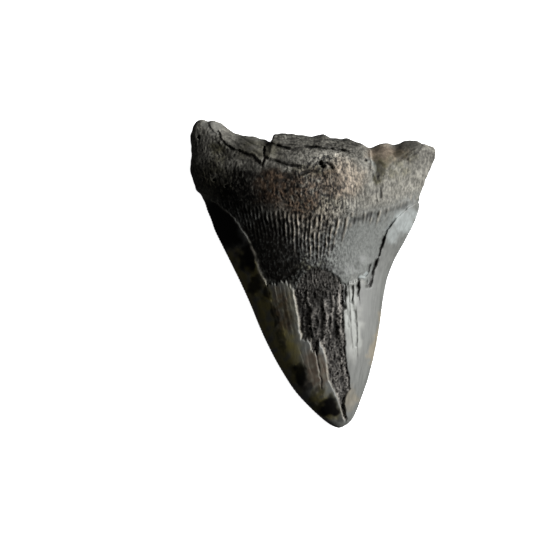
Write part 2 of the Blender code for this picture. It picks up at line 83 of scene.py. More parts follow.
# Heights along the tooth, as (y, z): the crest of the upper face, and the rim where the faces meet.
CREST = [
    (-60, 4.2), (-55, 6.4), (-48, 9), (-38, 11.8), (-20, 15.2), (0, 17.8), (14, 20.4), (26, 23.6),
    (35, 25.2), (42, 24.2), (50, 20.5), (60, 16)
]
RIM = [(-60, 2.6), (-48, 3), (-20, 3.5), (10, 4), (30, 5), (42, 7), (60, 7.5)]
# How the upper face falls off to each side: on the crown, and on the root's two lobes and its middle.
CROWN_POWER = 0.85
LOBE_SHARE = 0.45
TORUS_POWER = 1.4
ROOT_BLEND = (6, 34)
# Shares of the length over which the faces round down to the root's margin and to the tip.
MARGIN_ROUNDING = 0.085
TIP_ROUNDING = 0.025
# Shares of the width on which the lower face is flat, and how far it lifts off the ground at the tip.
FLAT_CROWN = 0.50
FLAT_ROOT = 0.62
TIP_LIFT = 1.8
TIP_LIFT_FROM = -32

# Where the upper face has no enamel: down the left sheet and its planks to the tip, and back up the right.
GAP_ABOVE = [
    (-70, 33), (-43.6, 32.2), (-39, 28.8), (-34, 25.3), (-30, 21.5), (-25.1, 14.8), (-22.3, 7.7),
    (-20.1, 0.9), (-18.5, -1.8), (-17.4, -3.6), (-14.6, -3.4), (-12.5, -2.4), (-9.2, -3.8), (-7.5, -5.9),
    (-5.9, -14.1), (-4.4, -24.6), (-0.9, -25.4), (-0.5, -29.4), (1.9, -29.7), (2, -25.8), (2.9, -25.6),
    (4.8, -30.1), (6.1, -40.3), (8.5, -44.6), (10, -48.1), (12, -55.5), (13, -57.4), (13.4, -55.8),
    (12.3, -50.4), (12.4, -47.2), (14.6, -44.2), (14.3, -41), (13.2, -35.6), (12.4, -28.6), (12, -21.2),
    (11.6, -14.1), (11.6, -3.8), (14.3, -3), (18.6, -1.9), (21.4, -3.6), (22.5, -0.9), (23.9, 2.6),
    (25.7, 7.6), (26.5, 10.2), (27.8, 14.6), (28.8, 17.2), (32.2, 21.6), (36.5, 25.6), (41.5, 28.9),
    (70, 29.5), (70, 90), (-70, 90)
]
# Where the lower face has none: everything on the root side of a shallow arc.
GAP_BELOW = [
    (-70, 30.5), (-42.5, 29.6), (-34, 23), (-22, 17.4), (-8, 14.6), (8, 14.4), (22, 17), (34, 22.4),
    (41.5, 28.6), (70, 29.5), (70, 90), (-70, 90)
]

# The striated collar lies between these lines, as (x, y).
BAND_TOP = [
    (-42, 30), (-32.1, 28), (-24.3, 26.4), (-12.6, 23.7), (-0.9, 22.5), (12.8, 22.5), (22.5, 24.1),
    (30.3, 26), (38.1, 29.6), (42, 30.5)
]
BAND_BOTTOM = [
    (-42, 28), (-28.2, 20.6), (-24.3, 17.8), (-14.5, 14.3), (-8.7, 11.2), (-2.8, 7.3), (2.2, 6), (6.9, 9.2),
    (11, 14.6), (16.7, 18.3), (22.5, 21.4), (28.4, 21.7), (34.2, 25), (42, 29)
]
# Its ridges, counted over the whole width, and where they grow to their full height from the left.
RIDGES = 56
COLLAR_FADE = (-36, -12)

# The broken core, bared where both sheets of enamel end.
CORE = [
    (-8.6, -9), (-6.6, -5.4), (-4.8, -1.2), (-2.4, 1.5), (1.1, 2.9), (5.4, 1.6), (9.4, -1.6), (12, -4.4),
    (12.8, -14), (13.6, -34), (15, -43), (14, -48), (13.4, -57), (11.6, -56.4), (6, -46), (1, -34),
    (-6, -27)
]

# Ridges of the broken core: height, half width and route.
CORE_RIBS = [
    (0.8, 0.75, [(-2.6, -9), (-1.5, -10.6), (-0.5, -13), (-0.3, -15.7), (-0.5, -19.2), (0.2, -22),
                 (0.2, -26)]),
    (0.7, 0.65, [(1.1, -11), (1.9, -13.8), (2, -16.5), (2.2, -20), (1.5, -22.5)]),
    (0.8, 0.8, [(4.2, -9.6), (4.8, -12.6), (5.3, -15.7), (5.4, -19.6), (6, -24)]),
    (0.45, 0.7, [(7.6, -8.6), (7.4, -13), (7.2, -18), (8, -24)]),
    (0.65, 1.2, [(9.6, -7.6), (10, -14), (10.4, -20), (11, -26)]),
    (0.7, 0.4, [(-1.8, -19.6), (0, -19.8), (1.6, -20.2)]),
]
CORE_RIM = 0.35
# Between these places along the tooth the core is a dome, and its ribs run out below.
CORE_DOME = (-9, -4)
CORE_RIBS_END = (-27, -22)

# Broken plates left standing along the root's upper margin: height, roughness, run of the grain in degrees
# from +X, and outline.
PLATES = [
    (1.1, 0.5, -36, [(-36.2, 55.2), (-34.6, 51.2), (-31.3, 48.3), (-28.2, 47.2), (-25.4, 46.3),
                     (-21.9, 44.6), (-19.6, 41.6), (-18.6, 43.6), (-17.6, 47.5), (-18.3, 49.9),
                     (-22.7, 51.6), (-25.8, 52.9), (-31.3, 54.5)]),
    (0.9, 0.5, -10, [(-18.7, 41.2), (-16, 43.8), (-12.2, 42), (-8.8, 41.3), (-4, 40.9), (-1, 43),
                     (2.6, 44.6), (7.6, 44.9), (9, 47), (6, 51), (-17.9, 51)]),
    (1.6, 0.8, -4, [(-17.2, 50.1), (-13.5, 49.2), (-11.5, 48.2), (-8.4, 47.3), (-4.6, 48.1),
                    (-0.5, 48.5), (2.3, 47.8), (7.9, 47.4), (12.5, 46.7), (16.4, 47.4), (19.6, 49.4),
                    (20.6, 70), (-15, 70)]),
    (0.6, 0.1, -50, [(-40.6, 62), (-40.4, 58.6), (-38.4, 55.6), (-36.6, 53), (-35.4, 55.4), (-31, 55.2),
                     (-31, 62)]),
]

# The shell-shaped scoop beside the right lobe: deep at its left wall, and fading to the right.
SCOOP_SLOPE = [(24.3, 36.2), (28.4, 40.9), (32.3, 43.6), (36.2, 46.7), (40.1, 48.7), (42.6, 50)]
SCOOP = SCOOP_SLOPE + [(44, 70), (21.6, 70), (21.9, 46), (22.3, 42.6), (22.9, 38.6)]
SCOOP_FADE = 6.5

# Cracks in the surface: half width, depth and route.
CRACKS = [
    (0.45, 1, [(-16.2, 51.6), (-17.4, 49.6), (-18.2, 48.2)]),
    (0.42, 2, [(-18.4, 48.6), (-18.7, 45.4), (-19, 42.6), (-19.4, 40.4)]),
    (0.75, 0.5, [(-33.8, 50.6), (-31.3, 48), (-28.2, 46.6), (-25.4, 45.6), (-21.9, 44), (-19.6, 41)]),
    (0.42, 0.4, [(-33, 52.4), (-29, 50), (-24, 47.6), (-20.6, 44.8)]),
    (0.38, 0.3, [(-34, 54), (-30, 52.6), (-25, 50.4), (-21, 48.4)]),
    (0.55, 0.7, [(-13.5, 49), (-11.5, 48), (-8.4, 47.1), (-4.6, 47.9), (-0.5, 48.3), (2.3, 47.6),
                 (7.9, 47.2), (13, 46.5)]),
    (0.5, 0.8, [(-18.6, 44), (-14.9, 42.9), (-11, 41.5), (-6.3, 40.7), (-2.4, 40.5)]),
    (0.6, 1.1, [(3.4, 42), (5, 41.8), (6.2, 41), (7.2, 39.4)]),
    (0.62, 1, [(-4.6, 37.8), (-1.8, 38.8), (0.6, 38.4), (2.6, 37.6), (4, 36.6)]),
    (0.45, 0.6, [(-2.4, 40.5), (-0.4, 41.2), (1.8, 41.6)]),
    (0.42, 0.6, [(24.3, 37), (25.1, 33.6), (25.6, 29.4)]),
    (0.45, 0.4, [(43.2, 50.6), (41, 48.4), (38.6, 45.6), (36, 44)]),
    (0.7, 0.4, [(36.4, 46.6), (33.6, 44.6), (31.2, 42.8), (28.8, 41)]),
    (0.5, 0.5, [(-18.6, -1.6), (-15, -1.8), (-11.8, -1.2), (-8.4, 0.8), (-6, 2.6), (-3.6, 4.4)]),
    (0.34, 0.6, [(31.6, 21.6), (28.4, 17.4), (27.5, 14.4)]),
    (0.52, 1, [(27.5, 14.8), (26.3, 10.4), (25.4, 7.3)]),
    (0.62, 1, [(24.6, 5.4), (23.5, 2.2), (22.8, -1.7), (22, -4)]),
    (0.42, 0.8, [(21.9, 3.6), (21.3, 1.2), (20.2, -0.4)]),
    (0.6, 1.1, [(12, -3.6), (12.2, -8), (12, -13)]),
    (0.42, 0.8, [(15.1, -4.4), (15.2, -8), (15, -11)]),
    (0.6, 1.1, [(17.5, -2), (17.4, -5)]),
    (0.35, 0.8, [(17.4, -5), (17.2, -8)]),
    (0.4, 0.6, [(20.9, -2.6), (20.4, -4.8)]),
    (0.3, 0.35, [(12.6, -11.6), (13.4, -15.8), (13.7, -20)]),
    (0.28, 0.3, [(15.8, -14), (16.6, -20), (16.9, -27.4)]),
    (0.32, 0.4, [(1.2, -30.5), (2.6, -37), (3.4, -44)]),
]
# Pits: radius, depth and place.
PITS = [
    (0.8, 2.6, (2.7, 41.8)), (0.75, 2, (3.2, 40.4)), (0.7, 1.6, (-43.8, 52.9)), (0.7, 1, (-37.5, 36)),
    (0.6, 0.9, (-33, 33.5)), (0.55, 0.8, (19.5, 43))
]

# Raised lips, lit along one side: height, half width and route.
LIPS = [
    (0.9, 2.2, [(11.8, -0.4), (14.6, 0.2), (17.6, 1), (18.6, 4)]),
    (0.5, 0.5, [(21.4, 49), (21.5, 44), (22, 40), (22.9, 36.4), (24, 33.8)]),
    (0.35, 0.45, [(24, 33), (24.6, 28)]),
    (0.35, 0.5, [(-36.4, 51.8), (-34, 49.4), (-32, 47.4)]),
    (1.3, 1.6, [(-17.1, 49), (-17, 44.6)]),
]

# Splinter seams of the enamel: the side that drops (+1 right, -1 left), the drop, and the route downwards.
SEAMS = [
    (1, 0.16, [(-17.6, -4.6), (-15.4, -12), (-12.6, -22)]),
    (1, 0.22, [(-14.6, -3.6), (-12.6, -14), (-9.8, -26)]),
    (1, 0.16, [(-12.6, -3.6), (-10.9, -14), (-8.4, -26)]),
    (1, 0.2, [(-11, -4.2), (-9.2, -14), (-6.9, -26)]),
    (1, 0.16, [(-9.2, -5), (-7.6, -14), (-5.6, -24)]),
    (1, 0.14, [(-5.6, -26), (-3.6, -34), (-1.2, -42)]),
    (1, 0.2, [(-3.2, -25.6), (-1.6, -34), (1, -42)]),
    (1, 0.24, [(1.2, -30.5), (2.4, -36), (3.6, -44)]),
    (1, 0.14, [(3.4, -29), (4.4, -38), (6.4, -46)]),
    (-1, 0.22, [(13.6, -3.8), (14.2, -12), (14.8, -20)]),
    (-1, 0.24, [(15, -4.4), (15.6, -11), (17, -19)]),
    (-1, 0.18, [(17.9, -3.2), (17.9, -8.4), (18.2, -14)]),
    (-1, 0.18, [(14, -14), (15, -24), (15.8, -33)]),
    (-1, 0.16, [(16.6, -12), (17.2, -24), (17.4, -36)]),
]

# Where the enamel's broken end is splintered, as the middle, the reach across and the reach along.
SPLINTERED = [(-12.5, -4, 6.5, 4.5), (0.5, -28, 6, 5.5), (15.5, -4.5, 5.5, 4)]

# Where each stain, painted shade and painted highlight lies, as (x, y, reach across, reach along, strength).
MANGANESE = [
    (-25, 31, 17, 13, 1.05), (-14, 33, 12, 10, 1), (-40, 38, 10, 8, 0.55), (-18, 12, 13, 15, 1.2),
    (-12, 4, 13, 11, 1.1), (-1, 17, 9, 13, 0.45), (2, -1, 10, 8, 0.75), (0, -14, 7, 16, 0.65),
    (8, -30, 6, 22, 0.45), (-30, 48, 10, 6, 0.55), (-10, 46, 9, 6, 0.5), (-3, 25.5, 9, 6.5, 0.8),
    (0, 36, 11, 9, 0.5), (12, 49, 10, 4, 0.5), (37.5, 49, 6, 3.6, 0.6), (34.8, 45.6, 3, 3.6, 0.55),
    (24.4, 39.6, 3.4, 5.6, 0.65), (40, 44, 5, 5, 0.38), (-44, 48, 4, 12, 0.4), (43, 45, 4, 4, 0.45),
    (46, 45, 2.5, 5, 0.45), (4, 50, 14, 4, 0.35)
]
# On the enamel: black manganese mottling; the patches down the left flank, from (-37, 21) to (-12.4, -24),
# also paint in the shade of the side turned from the lamp.
ENAMEL_BLACK_AND_SHADE = [
    (-37, 21, 10, 11.5, 1), (-32.5, 15, 8, 8, 1), (-25, 7, 4.4, 9, 1), (-21.4, -3.4, 2.8, 4.4, 0.85),
    (-18.4, -9, 2, 4, 0.85), (-15.4, -16, 1.7, 5, 0.8), (-12.4, -24, 1.5, 5, 0.5),
    (-5.4, -37.6, 4, 5, 0.95), (-3, -42.6, 3.2, 4, 0.6), (2.6, -45.4, 3, 3.6, 0.6),
    (6.2, -50.2, 4.8, 5.6, 1), (9.2, -54.2, 2.6, 3.2, 0.6), (0.6, -48.6, 5, 5, 0.5),
    (26.6, 8.4, 2.4, 2.4, 0.08), (23.6, -7, 3, 8, 0.05), (-11, -14, 5, 11, 0.32)
]
IRON = [
    (-14.5, 33, 9, 8, 0.75), (-4, 30, 11, 9, 0.75), (3, 34, 8, 7, 0.5), (29, 46.5, 8, 5, 0.3),
    (8, 34, 7, 8, 0.45), (-12, -14, 5, 11, 0.95), (1, -37, 5, 9, 0.7), (-27, 7, 4, 5, 0.5),
    (-6, -40, 6, 7, 0.5), (4, -50, 5, 6, 0.5)
]
OLIVE = [
    (-26, -1, 7, 10, 1.2), (3, -51, 7, 8, 0.9), (24.8, 39.8, 3.4, 6.5, 1), (28.4, 41.6, 4, 3.4, 0.6),
    (-30, 2, 3.6, 9, 1), (-26, -6, 3.4, 7, 1), (-21, -18, 7, 20, 1), (-11, -34, 8, 17, 0.95),
    (-10, -13, 8, 12, 0.2), (31, 40.4, 6, 5, 0.5), (-35, 46, 5, 5, 0.8), (-38, 36, 8, 9, 0.6),
    (-20, 47, 10, 5, 0.5), (-1, 38, 9, 3, 0.5), (36, 46, 5, 3, 0.6), (-1, 3.6, 6, 2, 0.7),
    (-23, 7, 3, 9, 0.5), (2, 27, 12, 5, 0.3)
]
# The patch at (-38, 57) lightens the left lobe's facet that faces the lamp, as painted highlight; the rest
# are tan stains.
TAN = [
    (11, 36, 9, 9, 0.65), (-38, 57, 4, 3.6, 0.3), (14.5, -47, 3, 4.5, 0.45), (27, -24, 3.4, 12, 0.75),
    (24.6, -32, 3.2, 7.5, 0.6), (-3, 22, 15, 8, 0.45), (28.6, 46.4, 8.6, 5.4, 1), (-12, -14, 4, 10, 0.15),
    (15.6, -17, 4.6, 17, 0.4), (1, -37, 5, 9, 0.45)
]
# Pale enamel down the right sheet at (15.6, -17); the other patches are painted highlights where the lamp
# falls: the right enamel's top, the left lobe's facet, the collar's lower rim and the scoop's lip.
BLEACHED_AND_HIGHLIGHTS = [
    (34.5, 19.8, 4.6, 4.8, 0.48), (38.2, 24.4, 3.2, 3, 0.42), (30.6, 15.6, 3, 3.6, 0.35),
    (15.6, -17, 4.6, 17, 0.42), (-38, 57, 4, 3.6, 0.25), (19, -1.2, 2, 0.9, 0.6),
    (20.6, 0.6, 0.9, 1.4, 0.5), (22, 43, 0.9, 6, 0.22)
]
# Where the root is most pitted.
PITTED = [(-4, 30, 17, 13, 1), (-34, 38, 15, 14, 0.8), (10, 27, 10, 8, 0.6), (2, 50, 18, 4, 0.5)]

# The fine mesh: columns across, and rows as (end of stretch, rows in it, column step), root to tip. The rows
# of the lower face are fewer, and so are its columns.
COLUMNS = 300
COLUMN_CROWDING = 0.2
ROWS = [(0.06, 34, 1), (0.55, 160, 1), (0.86, 104, 2), (1, 50, 4)]
ROW_CROWDING = 1.3
UNDER_STEP = 4
UNDER_ROWS = 2

# Breadth of the wall at the enamel's broken edge on each side, and of the bevel added on the left.
WALL_LEFT = 0.36
WALL_RIGHT = 0.20
BEVEL = 0.40
# Breadth to each side over which any other broken step rises.
STEP = 0.25
# The crown's serrations, one to every few rows, and the root's ragged margin: how deep each is, how far in it
# reaches, and where along the tooth it ends.
SERRATION_ROWS = 3
SERRATION_DEPTH = 0.16
SERRATION_REACH = 0.6
RAGGED_DEPTH = 0.25
RAGGED_REACH = 2
SERRATIONS_END = (26, 29)
SERRATIONS_END_AT_TIP = (0.96, 0.985)
RAGGED_END = (26, 30)
TOOTH_LENGTH = 110

# Material slots, and the zone that each is given to, the first that holds; the collar's has no zone.
ROOT_SLOT, COLLAR_SLOT, ENAMEL_SLOT, CORE_SLOT = range(4)
ZONE_SLOTS = [("enamelled", ENAMEL_SLOT), ("broken", CORE_SLOT), ("root_part", ROOT_SLOT)]


# --- Shaping functions --------------------------------------------------------------------------------

def curve_through(points, at, flip=False):
    """Smooth cubic through the points, y from x, or x from y when flipped."""
    table = np.array(sorted((y, x) if flip else (x, y) for x, y in points))
    knots, values = table[:, 0], table[:, 1]
    slopes = np.gradient(values, knots)
    at = np.clip(at, knots[0], knots[-1])
    i = np.clip(np.searchsorted(knots, at) - 1, 0, len(knots) - 2)
    span = knots[i + 1] - knots[i]
    t = (at - knots[i]) / span
    start = (2 * t**3 - 3 * t**2 + 1) * values[i] + (t**3 - 2 * t**2 + t) * span * slopes[i]
    return start + (3 * t**2 - 2 * t**3) * values[i + 1] + (t**3 - t**2) * span * slopes[i + 1]


def smooth(value, low, high):
    """0 below low, 1 above high, and an even S between them."""
    t = np.clip((value - low) / (high - low), 0, 1)
    return t * t * (3 - 2 * t)


def fading(offset, reach):
    """1 where the offset is 0, fading away to both sides over the reach."""
    return np.exp(-((offset / reach) ** 2))


def distance(x, y, line, closed=False):
    """Distance from each point to a line of straight runs."""
    ends = list(zip(line, line[1:] + line[:1])) if closed else list(zip(line, line[1:]))
    best = np.full(np.shape(x), np.inf)
    for (ax, ay), (bx, by) in ends:
        squared = (bx - ax) ** 2 + (by - ay) ** 2
        t = np.clip(((x - ax) * (bx - ax) + (y - ay) * (by - ay)) / squared, 0, 1)
        best = np.minimum(best, np.hypot(x - ax - t * (bx - ax), y - ay - t * (by - ay)))
    return best


def depth_inside(x, y, outline):
    """Distance to the outline, positive inside it and negative outside."""
    inside = np.zeros(np.shape(x), bool)
    for (ax, ay), (bx, by) in zip(outline, outline[1:] + outline[:1]):
        if ay != by:
            inside ^= ((ay > y) != (by > y)) & (x < (bx - ax) * (y - ay) / (by - ay) + ax)
    return np.where(inside, 1, -1) * distance(x, y, outline, closed=True)


def lumps(x, y, size, seed, stretch=1):
    """Smooth unevenness between about -1 and 1, of the given size across."""
    spots = zip(x / size, y / (size * stretch))
    return np.array([noise.noise(Vector((a, b, seed))) for a, b in spots]) * 1.6


def jogged(x, y, *waves):
    """The points moved about unevenly, by waves of how far, size across, and a seed for x and for y."""
    jog_x, jog_y = x, y
    for far, size, seed_x, seed_y in waves:
        jog_x = jog_x + far * lumps(x, y, size, seed_x)
        jog_y = jog_y + far * lumps(x, y, size, seed_y)
    return jog_x, jog_y


def pores(x, y, size, seed, stretch=1):
    """1 in the middle of scattered pores and 0 between them."""
    spots = zip(x / size, y / (size * stretch))
    near = np.array([noise.voronoi(Vector((a, b, seed)))[0][0] for a, b in spots])
    return 1 - smooth(near, 0.12, 0.42)


def plan(u, v):
    """Point of the plan at u across and v along: a patch between the four sides of the outline."""
    left_y, right_y = (side[0][1] + v * (side[-1][1] - side[0][1]) for side in (LEFT_EDGE, RIGHT_EDGE))
    root_x, tip_x = (side[0][0] + u * (side[-1][0] - side[0][0]) for side in (ROOT_MARGIN, TIP))
    left_x = curve_through(LEFT_EDGE, left_y, flip=True)
    right_x = curve_through(RIGHT_EDGE, right_y, flip=True)
    root_y, tip_y = curve_through(ROOT_MARGIN, root_x), curve_through(TIP, tip_x)
    corner_x, corner_y = ((1 - u) * ((1 - v) * ROOT_MARGIN[0][axis] + v * TIP[0][axis])
                          + u * ((1 - v) * ROOT_MARGIN[-1][axis] + v * TIP[-1][axis]) for axis in (0, 1))
    x = (1 - u) * left_x + u * right_x + (1 - v) * root_x + v * tip_x - corner_x
    y = (1 - u) * left_y + u * right_y + (1 - v) * root_y + v * tip_y - corner_y
    return x, y


def upper_face(u, v, y):
    """Height of the smooth upper face, before any relief."""
    side = np.abs(2 * u - 1)
    crown = (1 - side**2) ** CROWN_POWER
    lobes = LOBE_SHARE * (1 - side**4) ** 0.5 + (1 - LOBE_SHARE) * (1 - side**2) ** TORUS_POWER
    root_part = smooth(y, *ROOT_BLEND)
    margin = np.clip(v / MARGIN_ROUNDING, 0, 1)
    rounding = np.sqrt(1 - (1 - margin) ** 2)
    tip_rounding = np.sqrt(1 - np.clip((v - (1 - TIP_ROUNDING)) / TIP_ROUNDING, 0, 1) ** 2)
    rim = curve_through(RIM, y)
    swell = curve_through(CREST, y) - rim
    return rim + swell * (crown + (lobes - crown) * root_part) * rounding * tip_rounding


def lower_face(u, v, y):
    """Height of the lower face: flat along the middle, rising to the rim round it."""
    side = np.abs(2 * u - 1)
    root_part = smooth(y, *ROOT_BLEND)
    flat = FLAT_CROWN + (FLAT_ROOT - FLAT_CROWN) * root_part
    out = np.clip((side - flat) / (1 - flat), 0, 1)
    back = np.clip(1 - v / MARGIN_ROUNDING, 0, 1)
    rise = (1 - root_part) * out**2 + root_part * (1 - np.sqrt(1 - out**2))
    rise = 1 - (1 - rise) * np.sqrt(1 - back**2)
    rim = curve_through(RIM, y)
    lift = TIP_LIFT * np.clip((TIP_LIFT_FROM - y) / (60 + TIP_LIFT_FROM), 0, 1) ** 2
    return lift + (rim - lift) * rise


def across(t):
    """Place across the tooth of a column, with the columns crowded towards both edges."""
    return t - COLUMN_CROWDING * np.sin(2 * np.pi * t) / (2 * np.pi)


def inner(u, v):
    """0 on the rim and 1 a little way in from it."""
    return np.clip(np.minimum(np.minimum(u, 1 - u) * 40, np.minimum(v * 70, (1 - v) * 40)), 0, 1)


def worked_edge(x, y, u, v, row):
    """Moves the points near the rim: the crown's serrations, and the root's ragged margin."""
    rim_left, rim_right = curve_through(LEFT_EDGE, y, flip=True), curve_through(RIGHT_EDGE, y, flip=True)
    side_gap = np.minimum(u, 1 - u) * np.maximum(rim_right - rim_left, 5)
    edge_gap = np.minimum(side_gap, v * TOOTH_LENGTH)
    toward = np.where(u < 0.5, 1, -1)
    worn = np.clip(0.7 + 0.7 * lumps(y, toward, 6, 51), 0.1, 1.2)
    crown_edge = (1 - smooth(y, *SERRATIONS_END)) * (1 - smooth(v, *SERRATIONS_END_AT_TIP))
    notch = (row % SERRATION_ROWS == 1) * SERRATION_DEPTH * worn * crown_edge
    moved_x = x + toward * notch * fading(side_gap, SERRATION_REACH)
    ragged = RAGGED_DEPTH * fading(edge_gap, RAGGED_REACH) * smooth(y, *RAGGED_END)
    moved_x += ragged * lumps(x, y, 2.4, 52)
    moved_y = y + ragged * lumps(x, y, 2.4, 53)
    return moved_x, moved_y


# --- Relief -------------------------------------------------------------------------------------------

def patches(x, y, spots):
    """Strength at each point of a stain laid as soft patches."""
    strength = np.zeros_like(x)
    for px, py, wide, long, most in spots:
        reach = np.hypot((x - px) / wide, (y - py) / long)
        strength = np.maximum(strength, most * (1 - smooth(reach, 0.45, 1.15)))
    return strength


def collar(x, y, t, sizes):
    """Relief of the striated collar, its gaps and its ridges' crests, and the share of the root above it."""
    still = np.zeros_like(x)
    band_top, band_bottom = curve_through(BAND_TOP, x), curve_through(BAND_BOTTOM, x)
    phase = RIDGES * t + 0.16 * lumps(x, y, 4, 11, 1.6) + 0.10 * lumps(x, y, 1.6, 12, 2)
    ridge, gap = np.round(phase), np.floor(phase)
    strong = 0.35 + 0.65 * smooth(x, *COLLAR_FADE)
    starts = [band_top + 0.3 + 2.2 * lumps(index * 2.2, still, 1, 4) for index in (ridge, gap)]
    ends = [band_bottom - 0.8 + 3.4 * lumps(index * 3.1, still, 1, 5) for index in (ridge, gap)]
    ridge_run, gap_run = (strong * smooth(start - y, -0.6, 1.4) * smooth(y - end, -1.2, 2.2)
                          for start, end in zip(starts, ends))
    open_from = band_top + 0.2 + 1.2 * lumps(x, still, 9, 17) + 3 * lumps(gap * 2.9, still, 1, 18)
    breadth = 0.22 + 0.10 * smooth(x, -12, 10) * smooth(y - band_top, -9, -3)
    breadth += 0.05 * smooth(x, 12, 18)
    crest = fading(phase - ridge, breadth)
    tall = np.clip(0.80 + 0.12 * np.cos(np.pi * ridge) + 0.5 * lumps(ridge * 5.3, still, 1, 9), 0.2, 1.3)
    worn = tall * np.clip(0.75 + lumps(ridge * 3.7, y / 2.2, 1, 7), 0.05, 1.5)
    worn *= 0.35 + 0.65 * smooth(y - ends[0], -1, 6)
    slit = 1.5 + 2.5 * smooth(x, 8, 16)
    deep = np.clip(0.62 + lumps(gap * 4.1, y / slit, 1, 10), 0.08, 1)
    deep *= 1 - 0.8 * smooth(x, 6, 14) * smooth(band_top - y, 2.5, 6.5) - 0.15 * smooth(x, 12, 18)
    deep *= smooth(open_from - y, -0.8, 0.8)
    ridges = sizes.ridge_height / MM * (ridge_run * crest * worn - 0.7 * gap_run * (1 - crest) * deep)
    gaps = gap_run * (1 - crest * np.minimum(1.3 * worn, 1)) * deep
    root_part = smooth(y, (band_top + band_bottom) / 2 - 1, band_top + 4)
    return ridges, gaps, ridge_run * crest * np.minimum(worn, 1), root_part


def weathered(x, y, sizes):
    """Relief of the weathered root: lumps, grain and pores; and how much dirt and painted shade its hollows
    get.
    """
    broad = sizes.lump_height / MM * lumps(x, y, 7, 1)
    pitted = 0.45 + 0.75 * patches(x, y, PITTED)
    drawn = smooth(curve_through(BAND_TOP, x) + 16 - y, 0, 10) * smooth(x, -12, 4)
    fine = (1 - 0.6 * drawn) * 0.65 * lumps(x, y, 0.66, 6, 1.3)
    fine += 0.7 * drawn * lumps(x, y, 0.75, 16, 4.5)
    grain = 0.4 * lumps(x, y, 2.3, 2) + 0.22 * lumps(x, y, 1.1, 5, 1.6) + 1.3 * fine
    holes = pores(x, y, 1.1, 3, 1.6) * np.clip(0.55 + 0.9 * lumps(x, y, 4, 13), 0, 1) * pitted
    relief = broad + sizes.grain_height / MM * grain * (0.5 + 0.6 * pitted) - sizes.pore_depth / MM * holes
    return relief, np.maximum((0.2 + 0.65 * pitted) * smooth(-grain, -0.15, 0.75), 0.9 * holes)


def spongy(x, y, sizes):
    """Relief of the broken core, below the dentine round it, and how much dirt and painted shade its hollows
    get.
    """
    ribs = np.zeros_like(x)
    wander = 0.45 * lumps(x, y, 2.4, 14) + 0.2 * lumps(x, y, 0.9, 19)
    for height, half_width, route in CORE_RIBS:
        ribs = np.maximum(ribs, height * fading(distance(x + wander, y, route), half_width))
    grain = 0.4 * lumps(x, y, 1.6, 2, 1.3) + 1.1 * lumps(x, y, 0.66, 8)
    holes = pores(x, y, 1.5, 9, 1.3)
    dome = smooth(y, *CORE_DOME)
    grooved = (1 - dome) * smooth(y, *CORE_RIBS_END)
    bank = 0.7 * smooth(x - np.interp(y, [-45, -20], [13, 10.4]), -1.6, 0.4)
    bank *= 1 - smooth(y, -18, -12)
    fine_ribs = lumps(x + wander, y, 1.3, 7, 5)
    relief = grooved * (ribs - 0.3 + 0.3 * fine_ribs) + 0.26 * grain - 0.4 * holes + bank
    relief -= sizes.core_drop / MM * (1 - 0.8 * dome)
    # Darker in the grain's hollows, the pores and the grooves between the ribs: dirt and painted shade.
    dirt = smooth(-grain, -0.4, 0.9) + 0.7 * holes + grooved * (0.75 - 1.7 * ribs - 0.9 * fine_ribs)
    return relief, np.clip(dirt, 0, 1)


def splinters(x, y):
    """Steps between the splinters of the enamel's broken edges, and the dirt and painted shade in their
    seams.
    """
    still, level, seams = np.zeros_like(x), np.zeros_like(x), np.zeros_like(x)
    for side, drop, route in SEAMS:
        low, high = route[-1][1], route[0][1]
        wander = 0.12 * lumps(still, y, 5, 15 + high)
        offset = side * (x + wander - curve_through(route, y, flip=True))
        window = smooth(y, low, low + 6) * smooth(-y, -high - 1, -high + 1)
        groove = window * fading(offset, 0.18) * np.clip(0.6 + 0.8 * lumps(still, y, 2, high), 0, 1)
        level -= window * drop * smooth(offset, -0.12, 0.12) * (1 - smooth(offset, 1.2, 3)) + 0.06 * groove
        seams = np.maximum(seams, groove)
    return level, seams


